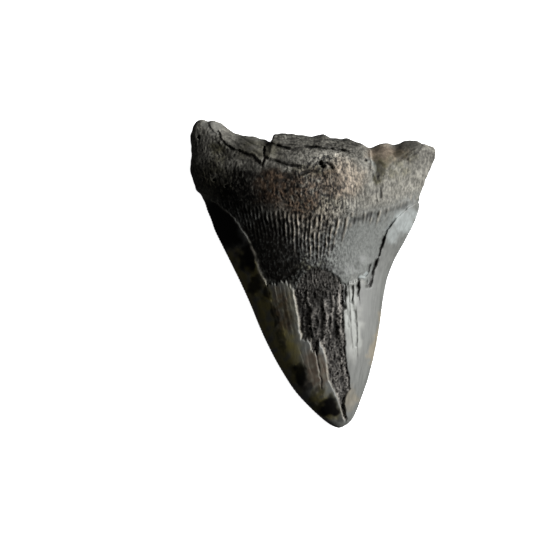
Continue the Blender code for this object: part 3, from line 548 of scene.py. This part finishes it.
def upper_relief(x, y, u, v, t, sizes):
    """Height that the detail adds to the smooth upper face, and the zones that the finishes go by."""
    jog_x, jog_y = jogged(x, y, (0.35, 2.2, 21, 23), (0.10, 0.8, 22, 24))
    wall = WALL_LEFT + (WALL_RIGHT - WALL_LEFT) * smooth(x, 4, 12)
    wall += BEVEL * smooth(y, -5, 0) * (1 - smooth(y, 8, 16)) * (1 - smooth(x, -15, -12))
    edge_x, edge_y = (x + 2 * jog_x) / 3, (y + 2 * jog_y) / 3
    for px, py, wide, long in SPLINTERED:
        reach = np.hypot((x - px) / wide, (y - py) / long)
        edge_y += (1 - smooth(reach, 0.7, 1)) * 1.1 * lumps(x, np.zeros_like(x), 0.9, 25)
    gap = depth_inside(edge_x, edge_y, GAP_ABOVE)
    enamelled = 1 - smooth(gap / wall, -1, 1)
    ridges, gaps, crests, root_part = collar(x, y, t, sizes)
    rough, pocket = weathered(x, y, sizes)
    right_neck = smooth(x, 2, 14) * (1 - root_part)
    neck_grain = lumps(x, y, 0.9, 31) + 0.6 * lumps(x, y, 0.55, 32)
    kept = np.ones_like(x)
    bare = sizes.root_rise / MM * root_part + ridges
    streaks = np.zeros_like(x)
    for height, roughness, run, outline in PLATES:
        plate = smooth(depth_inside(jog_x, jog_y, outline), -STEP, STEP)
        bare += plate * height
        kept *= 1 - plate * (1 - roughness)
        turn = math.radians(run)
        along, aside = x * math.cos(turn) + y * math.sin(turn), y * math.cos(turn) - x * math.sin(turn)
        streaks += plate * roughness * lumps(aside, along, 0.9, 26, 5)
    bare += 0.32 * streaks
    scoop = smooth(depth_inside(jog_x, jog_y, SCOOP), -STEP, STEP)
    bare -= scoop * sizes.scoop_depth / MM * smooth(distance(x, y, SCOOP_SLOPE), 0, SCOOP_FADE)
    kept *= 1 - 0.65 * scoop
    coarse = root_part * kept
    bare += rough * coarse + (0.11 - 0.08 * right_neck) * neck_grain * (1 - root_part)
    for height, half_width, route in LIPS:
        bare += height * fading(distance(jog_x, jog_y, route), half_width)
    core_depth = depth_inside(jog_x, jog_y, CORE)
    broken = smooth(core_depth, -STEP, STEP)
    spongy_relief, spongy_dirt = spongy(x, y, sizes)
    rim = fading(core_depth + 0.8, 0.6) * smooth(y, -5, -1)
    bare += broken * spongy_relief + CORE_RIM * rim
    opened, cracked = np.zeros_like(x), np.zeros_like(x)
    gape = np.clip(0.9 + 0.45 * lumps(x, y, 3, 27), 0.5, 1.2)
    for half_width, depth, route in CRACKS:
        groove = fading(distance(jog_x, jog_y, route) / half_width, gape)
        opened = np.maximum(opened, depth * groove * gape)
        cracked = np.maximum(cracked, groove * gape * min(1.2 * depth, 1))
    for radius, depth, (px, py) in PITS:
        hole = 1 - smooth(np.hypot(jog_x - px, jog_y - py), radius * 0.6, radius * 1.3)
        opened = np.maximum(opened, depth * hole)
        cracked = np.maximum(cracked, hole)
    level, seams = splinters(x, y)
    shell = sizes.enamel_thickness / MM + level + 0.02 * lumps(x, y, 5, 33, 2)
    height = enamelled * shell + (1 - enamelled) * bare - opened
    # Dirt and painted shade: dark in the grain's hollows, pores, plate streaks, collar gaps, cracks and
    # seams; on the neck it is weaker to the right, towards the lamp.
    neck_dirt = smooth(-neck_grain, -0.35 + 0.15 * right_neck, 0.8) * (1 - 0.85 * right_neck)
    neck_dirt *= 1 - root_part
    dirt = np.maximum(pocket * np.maximum(coarse, 0.5 * root_part), np.maximum(gaps, neck_dirt))
    dirt = np.maximum(dirt, 0.75 * smooth(-streaks, 0, 0.6))
    dirt = dirt * (1 - broken) + broken * spongy_dirt
    dirt = enamelled * 0.8 * seams + (1 - enamelled) * dirt
    dirt = np.maximum(dirt, np.minimum(cracked, 1))
    # Painted highlight along the enamel's broken walls that face +X, towards the lamp.
    facing = np.clip((depth_inside(edge_x + 0.4, edge_y, GAP_ABOVE) - gap) / 0.4, 0, 1)
    edge = fading(gap / wall, 1.1) * facing**2 * (1 - smooth(cracked, 0.2, 0.7))
    edge *= 1 - 0.4 * smooth(y, 8, 16) - 0.2 * smooth(-y, 4, 8) - 0.3 * smooth(-y, 24, 27)
    zones = {"enamelled": enamelled, "broken": broken, "root_part": root_part, "dirt": dirt, "edge": edge,
             "crests": crests, "kept": kept}
    return height * inner(u, v), zones


def stains(x, y, zones):
    """Strength of each stain, painted shade and painted highlight on one face, and of its speckle, which is
    strongest in the middle.
    """
    far_x, far_y = jogged(x, y, (2, 7, 41, 43), (0.8, 2, 42, 44))
    # Black is weaker on the collar's ridge crests: worn colour, and partly a painted highlight.
    black = patches(far_x, far_y, MANGANESE) * (1 - zones["enamelled"]) * (1 - 0.55 * zones["crests"])
    black *= np.clip(1.1 + 0.6 * lumps(x, y, 1.7, 48), 0.85, 1)
    # On the enamel the black also paints in the shade down the left flank.
    crust_and_shade = patches(far_x, far_y, ENAMEL_BLACK_AND_SHADE)
    black += zones["enamelled"] * np.minimum(crust_and_shade, smooth(crust_and_shade + 0.3 * lumps(x, y, 1.2, 49), 0.1, 0.8))
    brown = patches(far_x, far_y, IRON) * np.clip(0.7 + 0.9 * lumps(x, y, 1.8, 46), 0, 1)
    green = patches(far_x, far_y, OLIVE) * np.clip(0.8 + 0.8 * lumps(x, y, 2.6, 47), 0, 1)
    # Ridge crests lighter and tan: their worn colour, and partly a painted highlight along each crest.
    crest_tan_and_highlight = smooth(x, -26, -8) * (1 - 0.7 * smooth(x, 8, 18))
    tan = np.maximum(patches(far_x, far_y, TAN), 0.8 * zones["crests"] * crest_tan_and_highlight)
    # Painted highlight: on the enamel's broken walls that face the lamp, weaker above y = 2, and on the ridge
    # crests right of the left flank.
    highlight_strength = zones["edge"] * np.clip(0.55 + 0.45 * lumps(x, y, 1.8, 45), 0.1, 1)
    highlight_strength *= 0.25 + 0.75 * (1 - smooth(y, -6, 2))
    highlight_strength += 0.4 * zones["crests"] ** 2 * smooth(x, -14, -4)
    grit = (0.38 + 0.62 * smooth(x, -18, -4) - 0.68 * smooth(x, 4, 22)) * (0.3 + 0.7 * zones["kept"])
    grit *= 1 - 0.5 * (1 - zones["root_part"]) * smooth(x, 2, 12)
    return {"manganese_and_shade": black, "iron": brown, "olive": green, "tan": tan,
            "bleached_and_highlight": patches(far_x, far_y, BLEACHED_AND_HIGHLIGHTS), "dirt": zones["dirt"], "painted_highlight": highlight_strength,
            "rooted": zones["root_part"], "grit": grit}


# --- Mesh ---------------------------------------------------------------------------------------------

def row_places(stretches):
    """Each row's place along the tooth and its column step; rows crowd at both ends."""
    places, steps = [0.0], [stretches[0][2]]
    for end, count, step in stretches:
        first = places[-1]
        for k in range(1, count + 1):
            share = k / count
            if first == 0.0:
                share = share**ROW_CROWDING
            elif end == 1.0:
                share = 1 - (1 - share) ** ROW_CROWDING
            places.append(first + (end - first) * share)
            steps.append(step)
    return places, steps


def panel(table, rows, columns, upper):
    """Corners of one face, round the points of the table on a rectangle of rows and columns."""
    (r0, r1), (c0, c1) = rows, columns
    ring = [(r0, c) for c in range(c0, c1)] + [(r, c1) for r in range(r0, r1)]
    ring += [(r1, c) for c in range(c1, c0, -1)] + [(r, c0) for r in range(r1, r0, -1)]
    corners = [table[key] for key in ring if key in table]
    return corners[::-1] if upper else corners


def lattice():
    """Places of the mesh's points, how many are the upper face's, which come first, and the mesh's faces."""
    places, steps = row_places(ROWS)
    last = len(places) - 1
    above, below, spots = {}, {}, []
    for r in range(last + 1):
        for c in range(0, COLUMNS + 1, steps[r]):
            above[r, c] = len(spots)
            if r in (0, last) or c in (0, COLUMNS):
                below[r, c] = len(spots)
            spots.append((c / COLUMNS, places[r], r))
    upper_count = len(spots)
    under_rows = sorted(set(range(0, last, UNDER_ROWS)) | {last})
    for r in under_rows[1:-1]:
        for c in range(UNDER_STEP, COLUMNS, UNDER_STEP):
            below[r, c] = len(spots)
            spots.append((c / COLUMNS, places[r], r))
    faces = []
    for r in range(last):
        width = max(steps[r], steps[r + 1])
        faces += [panel(above, (r, r + 1), (c, c + width), True) for c in range(0, COLUMNS, width)]
    for r0, r1 in zip(under_rows, under_rows[1:]):
        faces += [panel(below, (r0, r1), (c, c + UNDER_STEP), False) for c in range(0, COLUMNS, UNDER_STEP)]
    return np.array(spots), upper_count, faces


def under_relief(x, y, u, v, sizes):
    """Height of the detail on the lower face, which only hollows it, and the zones it gives."""
    jog_x, jog_y = jogged(x, y, (0.5, 2.6, 61, 62))
    bare = smooth(depth_inside(jog_x, jog_y, GAP_BELOW), -0.4, 0.4)
    rough, pocket = weathered(x + 90, y, sizes)
    holes = pores(x, y, 3.2, 63, 1.5)
    root = 0.45 + 0.5 * rough + 0.5 * holes
    wrinkles = 0.05 * lumps(x, y, 1.6, 64, 9)
    hollow = np.maximum(bare * root + (1 - bare) * (0.06 + wrinkles), 0)
    zones = {name: np.zeros_like(x) for name in ("broken", "edge", "crests")}
    # Dirt and painted shade in the lower root's pores and hollows.
    zones.update(enamelled=1 - bare, root_part=bare, dirt=bare * np.maximum(0.7 * pocket, holes),
                 kept=np.ones_like(x))
    return hollow * inner(u, v), zones


def tooth_points(sizes):
    """The mesh's points in metres, its faces, and the zones and stains of its points."""
    spots, upper_count, faces = lattice()
    t, v, row = spots.T
    u = across(t)
    x, y = plan(u, v)
    x, y = worked_edge(x, y, u, v, row)
    top, under = slice(0, upper_count), slice(upper_count, len(x))
    z = np.empty_like(x)
    relief, zones = upper_relief(x[top], y[top], u[top], v[top], t[top], sizes)
    z[top] = upper_face(u[top], v[top], y[top]) + relief
    hollow, under_zones = under_relief(x[under], y[under], u[under], v[under], sizes)
    z[under] = lower_face(u[under], v[under], y[under]) + hollow
    marks, under_marks = stains(x[top], y[top], zones), stains(x[under], y[under], under_zones)
    zones = {name: np.concatenate([zones[name], under_zones[name]]) for name in zones}
    marks = {name: np.concatenate([marks[name], under_marks[name]]) for name in marks}
    return np.stack([x, y, z], axis=1) * MM, faces, zones, marks


def face_slots(faces, zones):
    """Material slot of each face, by the zones of its corners."""
    slots = []
    for corners in faces:
        held = (slot for name, slot in ZONE_SLOTS if np.mean(zones[name][corners]) > 0.5)
        slots.append(next(held, COLLAR_SLOT))
    return slots


# --- Materials ----------------------------------------------------------------------------------------

# Specular level left where the manganese mark lies: manganese crust, and on the left enamel painted shade as
# well.
CRUST_GLOSS = 0.08


def linear(code):
    """Linear RGBA of an sRGB hex colour."""
    parts = [int(code[k:k + 2], 16) / 255 for k in (1, 3, 5)]
    return [c / 12.92 if c <= 0.04045 else ((c + 0.055) / 1.055) ** 2.4 for c in parts] + [1.0]


def per_mm(size):
    """Scale of a noise pattern whose features are size millimetres across."""
    return 1 / (size * MM)


def add_node(tree, kind, inputs=None, **settings):
    """Adds a node with its settings; an input that is a socket or the name of a mesh's mark is linked."""
    made = tree.nodes.new(kind)
    for name, value in settings.items():
        setattr(made, name, value)
    for name, value in (inputs or {}).items():
        if isinstance(value, str):
            value = add_node(tree, "ShaderNodeAttribute", attribute_name=value).outputs["Fac"]
        if isinstance(value, bpy.types.NodeSocket):
            tree.links.new(value, made.inputs[name])
        else:
            made.inputs[name].default_value = value
    return made


def new_material(name, ior):
    """A material that is no more than its shader, and the place on the surface."""
    material = bpy.data.materials.new(name)
    material.use_nodes = True
    tree = material.node_tree
    tree.nodes.clear()
    shader = add_node(tree, "ShaderNodeBsdfPrincipled", {"IOR": ior})
    add_node(tree, "ShaderNodeOutputMaterial", {"Surface": shader.outputs["BSDF"]})
    place = add_node(tree, "ShaderNodeTexCoord").outputs["Object"]
    return material, tree, shader, place


def stained(tree, colour, layers):
    """Lays stains over a colour, each as strong as its mark on the mesh or its socket."""
    for strength, stain in layers:
        colour = add_node(tree, "ShaderNodeMix", {0: strength, 6: colour, 7: stain},
                          data_type="RGBA").outputs[2]
    return colour


def fine_grain(tree, place, size, stretch):
    """Noise whose features are size millimetres across, drawn out along the tooth."""
    squeezed = add_node(tree, "ShaderNodeVectorMath", {0: place, 1: (1.0, 1.0 / stretch, 1.0)},
                        operation="MULTIPLY").outputs["Vector"]
    return add_node(tree, "ShaderNodeTexNoise", {"Vector": squeezed, "Scale": per_mm(size), "Detail": 3.0,
                                                 "Roughness": 0.6}).outputs["Fac"]


def speckled(tree, colour, grain, darkest, lightest, strength=1.0, spread=0.15):
    """Darkens a colour in a grain's hollows and lightens it on the tops; the less spread, the crisper."""
    level = add_node(tree, "ShaderNodeMapRange", {"Value": grain, "From Min": 0.5 - spread,
                                                  "From Max": 0.5 + spread, "To Min": darkest,
                                                  "To Max": lightest}).outputs["Result"]
    shaded = add_node(tree, "ShaderNodeMix", {0: strength, 6: colour, 7: level}, data_type="RGBA",
                      blend_type="MULTIPLY")
    return shaded.outputs[2]


def finish_surface(tree, shader, colour, grain, roughness, depth):
    """Joins a surface's colour, and the roughness and bump that follow its grain, to the shader."""
    low, high = roughness
    rough = add_node(tree, "ShaderNodeMapRange", {"Value": grain, "From Min": 0.3, "From Max": 0.7,
                                                  "To Min": low, "To Max": high}).outputs["Result"]
    bump = add_node(tree, "ShaderNodeBump", {"Height": grain, "Distance": depth * MM, "Strength": 1.0})
    tree.links.new(colour, shader.inputs["Base Color"])
    tree.links.new(rough, shader.inputs["Roughness"])
    tree.links.new(bump.outputs["Normal"], shader.inputs["Normal"])


def dulled(tree, shader, gloss):
    """Gives the surface its gloss, but leaves it matt where the manganese mark lies: the manganese crust, and
    the painted shade of the left enamel.
    """
    level = add_node(tree, "ShaderNodeMapRange", {"Value": "manganese_and_shade", "To Min": gloss,
                                                  "To Max": CRUST_GLOSS}).outputs["Result"]
    tree.links.new(level, shader.inputs["Specular IOR Level"])


def dentine_tones(tree, place, colours):
    """Colour of the bare dentine, from the grey neck to the paler root, with its stains and fine speckle."""
    colour = stained(tree, colours.neck_dentine, [
        ("rooted", colours.pale_dentine), ("tan", colours.tan_stain), ("olive", colours.olive_stain)])
    # Grains of sand size, about 0.4 mm, are too fine to show, so they are drawn at 0.8 mm, and twice as long.
    grain = fine_grain(tree, place, 0.8, 2.0)
    # The manganese is rubbed off their tops.
    rubbed = add_node(tree, "ShaderNodeMapRange", {"Value": grain, "From Min": 0.52, "From Max": 0.64,
                                                   "To Min": 1.0, "To Max": 0.8}).outputs["Result"]
    held = add_node(tree, "ShaderNodeMath", {0: "manganese_and_shade", 1: rubbed},
                    operation="MULTIPLY").outputs["Value"]
    colour = stained(tree, colour, [(held, colours.manganese_stain), ("iron", colours.iron_stain)])
    # Weathering shows as cloudy patches about 3 mm across.
    clouds = fine_grain(tree, place, 3.0, 1.2)
    colour = speckled(tree, colour, clouds, 0.75, 1.25, "rooted")
    return speckled(tree, colour, grain, 0.0, 2.2, "grit", 0.10), grain


def weathered_root_dentine(colours):
    """Fossil root dentine, worn by water and sand: dry, granular and stained, with dirt and painted shade in
    its pores, and painted highlights in places.
    """
    material, tree, shader, place = new_material("weathered_root_dentine", 1.55)
    colour, grain = dentine_tones(tree, place, colours)
    # Dirt and painted shade in the hollows; painted highlights on the lamp-facing facet and the scoop's lip.
    colour = stained(tree, colour, [("dirt", colours.dirt), ("bleached_and_highlight", colours.pale_enamel_and_highlight)])
    dulled(tree, shader, 0.3)
    finish_surface(tree, shader, colour, grain, (0.66, 0.90), 0.12)
    return material


def smooth_neck_dentine(colours):
    """Dentine of the neck between root and crown, laid bare and rubbed: finer and faintly satin."""
    material, tree, shader, place = new_material("smooth_neck_dentine", 1.58)
    colour, grain = dentine_tones(tree, place, colours)
    # Dirt and painted shade in the hollows; painted highlights on the collar's lower rim, its crests and the
    # walls facing the lamp.
    colour = stained(tree, colour, [("dirt", colours.dirt), ("bleached_and_highlight", colours.pale_enamel_and_highlight),
                                    ("painted_highlight", colours.painted_highlight)])
    dulled(tree, shader, 0.35)
    finish_surface(tree, shader, colour, grain, (0.50, 0.72), 0.08)
    return material


def polished_enameloid(colours):
    """Fossil enameloid, dense and still glossy, with faint streaks along the tooth."""
    material, tree, shader, place = new_material("polished_enameloid", 1.63)
    # The black is manganese mottling and, down the left flank, painted shade; the pale is bleached enamel and
    # painted highlights; later the seams get dirt and painted shade, and the walls facing the lamp a painted
    # highlight.
    colour = stained(tree, colours.enamel, [
        ("tan", colours.enamel_tan), ("iron", colours.iron_stain), ("olive", colours.enamel_olive),
        ("bleached_and_highlight", colours.pale_enamel_and_highlight), ("manganese_and_shade", colours.black_enamel_and_shade)])
    # Growth streaks about 1 mm apart, fifteen times as long.
    grain = fine_grain(tree, place, 1.0, 15.0)
    colour = speckled(tree, colour, grain, 0.84, 1.14)
    colour = stained(tree, colour, [("dirt", colours.dirt), ("painted_highlight", colours.painted_highlight)])
    dulled(tree, shader, 0.3)
    finish_surface(tree, shader, colour, grain, (0.44, 0.60), 0.008)
    return material


def broken_core_dentine(colours):
    """Spongy dentine of the core, bared where the enamel broke away: matt and open, with dirt and painted
    shade in its hollows.
    """
    material, tree, shader, place = new_material("broken_core_dentine", 1.55)
    colour = stained(tree, colours.core_dentine, [("iron", colours.iron_stain),
                                                  ("manganese_and_shade", colours.manganese_stain)])
    # Open pores of about 0.4 mm are too fine to show, so they are drawn at 0.8 mm, and longer than wide.
    grain = fine_grain(tree, place, 0.8, 2.6)
    colour = speckled(tree, colour, grain, 0.35, 2.0, 1.0, 0.13)
    # Bundles of fibre about 1 mm across, 2 mm from one to the next, run along the tooth.
    colour = speckled(tree, colour, fine_grain(tree, place, 2.0, 5.0), 0.45, 1.6)
    # Dirt and painted shade in the hollows, and painted highlight along the walls facing the lamp.
    colour = stained(tree, colour, [("dirt", colours.dirt), ("painted_highlight", colours.painted_highlight)])
    dulled(tree, shader, 0.3)
    finish_surface(tree, shader, colour, grain, (0.70, 0.92), 0.12)
    return material


def painted_board(colours):
    """Matt white board, evenly sprayed and faintly lit from within, so that it stays white all over."""
    material, tree, shader, place = new_material("painted_board", 1.5)
    grain = fine_grain(tree, place, 20.0, 1.0)
    colour = speckled(tree, colours.board, grain, 0.99, 1.01)
    finish_surface(tree, shader, colour, grain, (0.80, 0.86), 0.01)
    shader.inputs["Emission Color"].default_value = colours.board
    shader.inputs["Emission Strength"].default_value = 1.08
    return material


# How far the board lies below the tooth, so that their faces don't meet.
BOARD_DROP = 0.1 * MM


# --- Sizes and colours that a user would change -------------------------------------------------------

def number(name, description, default, **kind):
    """A property that is a number."""
    return bpy.props.FloatProperty(name=name, description=description, default=default, **kind)


def length(name, description, millimetres, least=0.0):
    """A length property, given in millimetres."""
    return number(name, description, millimetres * MM, min=least, unit="LENGTH", subtype="DISTANCE")


def colour_of(name, description, code):
    """A colour property, given as an sRGB hex colour."""
    return bpy.props.FloatVectorProperty(name=name, description=description, default=linear(code), size=4,
                                         min=0.0, max=1.0, subtype="COLOR")


class ToothSizes(bpy.types.PropertyGroup):
    """Sizes of the tooth's relief."""
    ridge_height: length("Collar ridges", "Height of the ridges of the striated collar", 0.50)
    lump_height: length("Root lumps", "Height of the root's broad lumps", 0.45)
    grain_height: length("Root grain", "Height of the root's grain", 0.17)
    pore_depth: length("Root pores", "Depth of the root's pores", 0.35)
    root_rise: length("Root rise", "Height of the root over the collar", 0.9)
    core_drop: length("Core depth", "Depth of the broken core below the dentine round it", 0.8)
    scoop_depth: length("Scoop depth", "Depth of the scoop beside the right lobe", 2.2)
    enamel_thickness: length("Enamel", "Height of the enamel over the dentine", 0.6)


class ToothColours(bpy.types.PropertyGroup):
    """Colours of the tooth and of the board it lies on."""
    pale_dentine: colour_of("Pale dentine", "Root where no stain lies", "#68665F")
    neck_dentine: colour_of("Neck dentine", "Smooth dentine under the collar", "#585A57")
    core_dentine: colour_of("Core dentine", "Spongy dentine of the broken core", "#5B5854")
    enamel: colour_of("Enamel", "Enamel where no stain lies", "#595A57")
    enamel_tan: colour_of("Tan enamel", "Worn enamel along the right edge", "#746B59")
    # Colour of the pale enamel, and of the painted highlights laid with it.
    pale_enamel_and_highlight: colour_of("Bleached enamel", "Pale enamel and chips on the right", "#979D9C")
    enamel_olive: colour_of("Olive enamel", "Olive mottling of the left enamel", "#736B3C")
    # Black of the manganese mottling, also used as painted shade down the left enamel.
    black_enamel_and_shade: colour_of("Black enamel", "Enamel blackened by manganese", "#070605")
    manganese_stain: colour_of("Manganese stain", "Dark stain of the left side and the core", "#0B0A08")
    iron_stain: colour_of("Iron stain", "Brown stain of the root", "#46382C")
    olive_stain: colour_of("Olive stain", "Greenish stain in the hollows", "#494631")
    tan_stain: colour_of("Tan stain", "Tan patches of the root and crests of the collar", "#7A6F61")
    # Colour of the dirt and of the painted shade in pores, gaps, cracks and seams.
    dirt: colour_of("Dirt", "Dirt in pores, gaps and cracks", "#100E0B")
    # Colour of the painted highlights on the walls and crests facing the lamp.
    painted_highlight: colour_of("Fracture", "Fresh broken edge of the enamel", "#9B968A")
    board: colour_of("Board", "Floor of the studio", "#F4F4F4")


class StudioSizes(bpy.types.PropertyGroup):
    """Places of the lamp and the camera, and their strengths."""
    lens: number("Lens", "Focal length of the camera, in millimetres", 85.0, min=1.0)
    view_width: length("View width", "Width that the camera takes in at the tooth's rim", 214.5)
    rim_height: length("Rim height", "Height at which that width is measured", 4.0)
    view_x: length("View X", "Middle of the view across the tooth", -14.5, -1.0)
    view_y: length("View Y", "Middle of the view along the tooth", -0.1, -1.0)
    lamp_azimuth: number("Lamp azimuth", "Direction of the lamp, from +X", math.radians(12.0),
                         subtype="ANGLE")
    lamp_elevation: number("Lamp elevation", "Height of the lamp as an angle", math.radians(32.0),
                           subtype="ANGLE")
    lamp_distance: length("Lamp distance", "Distance of the lamp from the tooth", 900.0)
    lamp_size: length("Lamp size", "Width of the soft lamp", 700.0)
    lamp_power: number("Lamp power", "Power of the soft lamp, in watts", 22.0, min=0.0, subtype="POWER")
    fill: number("Fill", "Strength of the even light from all round", 0.045, min=0.0)


# --- Operators ----------------------------------------------------------------------------------------

class FOSSIL_OT_tooth(bpy.types.Operator):
    """Model the fossil tooth over its solid, with its stains and its four finishes"""
    bl_idname = "fossil.tooth"
    bl_label = "Tooth"

    def execute(self, context):
        points, faces, zones, marks = tooth_points(context.scene.tooth_sizes)
        data = bpy.data.meshes.new("megalodon_tooth")
        data.from_pydata(points.tolist(), [], faces)
        for name, values in marks.items():
            layer = data.attributes.new(name, "FLOAT", "POINT")
            layer.data.foreach_set("value", np.clip(values, 0.0, 1.0).astype(np.float32))
        colours = context.scene.tooth_colours
        for finish in (weathered_root_dentine, smooth_neck_dentine, polished_enameloid, broken_core_dentine):
            data.materials.append(finish(colours))
        data.polygons.foreach_set("material_index", face_slots(faces, zones))
        data.shade_smooth()
        if data.validate():
            raise RuntimeError("the tooth's mesh has bad faces")
        tooth = bpy.data.objects.new("megalodon_tooth", data)
        context.scene.collection.objects.link(tooth)
        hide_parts("tooth")
        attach(tooth, "root")
        return {"FINISHED"}


def board_mesh():
    """A round board that sweeps up into a dome round the tooth, 6 m from it."""
    flat, sweep, sides, steps = 3.0, 3.0, 48, 12
    rings = [(r, 0.0) for r in (0.5, 1.5, flat)]
    rings += [(flat + sweep * math.sin(a), sweep - sweep * math.cos(a))
              for a in np.linspace(0.1, math.pi / 2, steps)]
    rings += [((flat + sweep) * math.cos(a), sweep + (flat + sweep) * math.sin(a))
              for a in np.linspace(0.12, 1.5, steps)]
    points = [(r * math.cos(math.tau * k / sides), r * math.sin(math.tau * k / sides), z)
              for r, z in rings for k in range(sides)]
    faces = [list(range(sides))]
    for low in range(0, (len(rings) - 1) * sides, sides):
        faces += [(low + k, low + sides + k, low + sides + (k + 1) % sides, low + (k + 1) % sides)
                  for k in range(sides)]
    data = bpy.data.meshes.new("board")
    data.from_pydata(points, [], faces)
    return data


class FOSSIL_OT_studio(bpy.types.Operator):
    """Add the pale board, the soft lamp, the even fill and the camera"""
    bl_idname = "fossil.studio"
    bl_label = "Studio"

    def execute(self, context):
        scene, sizes = context.scene, context.scene.studio_sizes
        data = board_mesh()
        data.materials.append(painted_board(scene.tooth_colours))
        data.shade_smooth()
        board = bpy.data.objects.new("board", data)
        board.location.z = -BOARD_DROP
        # The board shows white, but throws no light up at the tooth, whose dark side stays dark.
        board.visible_diffuse = False
        board.visible_glossy = False
        board.visible_shadow = False
        scene.collection.objects.link(board)

        scene.world = bpy.data.worlds.new("fill")
        scene.world.use_nodes = True
        background = scene.world.node_tree.nodes["Background"]
        background.inputs["Color"].default_value = (1.0, 1.0, 1.0, 1.0)
        background.inputs["Strength"].default_value = sizes.fill

        light = bpy.data.lights.new("soft_lamp", "AREA")
        light.shape = "DISK"
        light.size = sizes.lamp_size
        light.energy = sizes.lamp_power
        lamp = bpy.data.objects.new("soft_lamp", light)
        around, up = sizes.lamp_azimuth, sizes.lamp_elevation
        toward = Vector((math.cos(around) * math.cos(up), math.sin(around) * math.cos(up), math.sin(up)))
        lamp.location = toward * sizes.lamp_distance
        lamp.rotation_euler = toward.to_track_quat("Z", "Y").to_euler()
        scene.collection.objects.link(lamp)

        lens = bpy.data.cameras.new("camera")
        lens.lens = sizes.lens
        camera = bpy.data.objects.new("camera", lens)
        camera.location = (sizes.view_x, sizes.view_y,
                           sizes.rim_height + sizes.view_width * sizes.lens / lens.sensor_width)
        scene.collection.objects.link(camera)
        scene.camera = camera
        scene.view_settings.view_transform = "Standard"
        return {"FINISHED"}


class FOSSIL_PT_panel(bpy.types.Panel):
    """Lists the tooth's steps, sizes and colours"""
    bl_idname = "FOSSIL_PT_panel"
    bl_label = "Fossil Megalodon Tooth"
    bl_space_type = "VIEW_3D"
    bl_region_type = "UI"
    bl_category = "Fossil"

    def draw(self, context):
        for step in (FOSSIL_OT_tooth, FOSSIL_OT_studio):
            self.layout.operator(step.bl_idname)
        for group in (context.scene.tooth_sizes, context.scene.tooth_colours, context.scene.studio_sizes):
            box = self.layout.box()
            for name in group.__annotations__:
                box.prop(group, name)


CLASSES = (ToothSizes, ToothColours, StudioSizes, FOSSIL_OT_tooth, FOSSIL_OT_studio, FOSSIL_PT_panel)


def register():
    for kind in CLASSES:
        bpy.utils.register_class(kind)
    bpy.types.Scene.tooth_sizes = bpy.props.PointerProperty(type=ToothSizes)
    bpy.types.Scene.tooth_colours = bpy.props.PointerProperty(type=ToothColours)
    bpy.types.Scene.studio_sizes = bpy.props.PointerProperty(type=StudioSizes)


def unregister():
    del bpy.types.Scene.studio_sizes
    del bpy.types.Scene.tooth_colours
    del bpy.types.Scene.tooth_sizes
    for kind in reversed(CLASSES):
        bpy.utils.unregister_class(kind)


def main():
    register()
    bpy.ops.fossil.tooth()
    bpy.ops.fossil.studio()


if __name__ == "__main__":
    main()
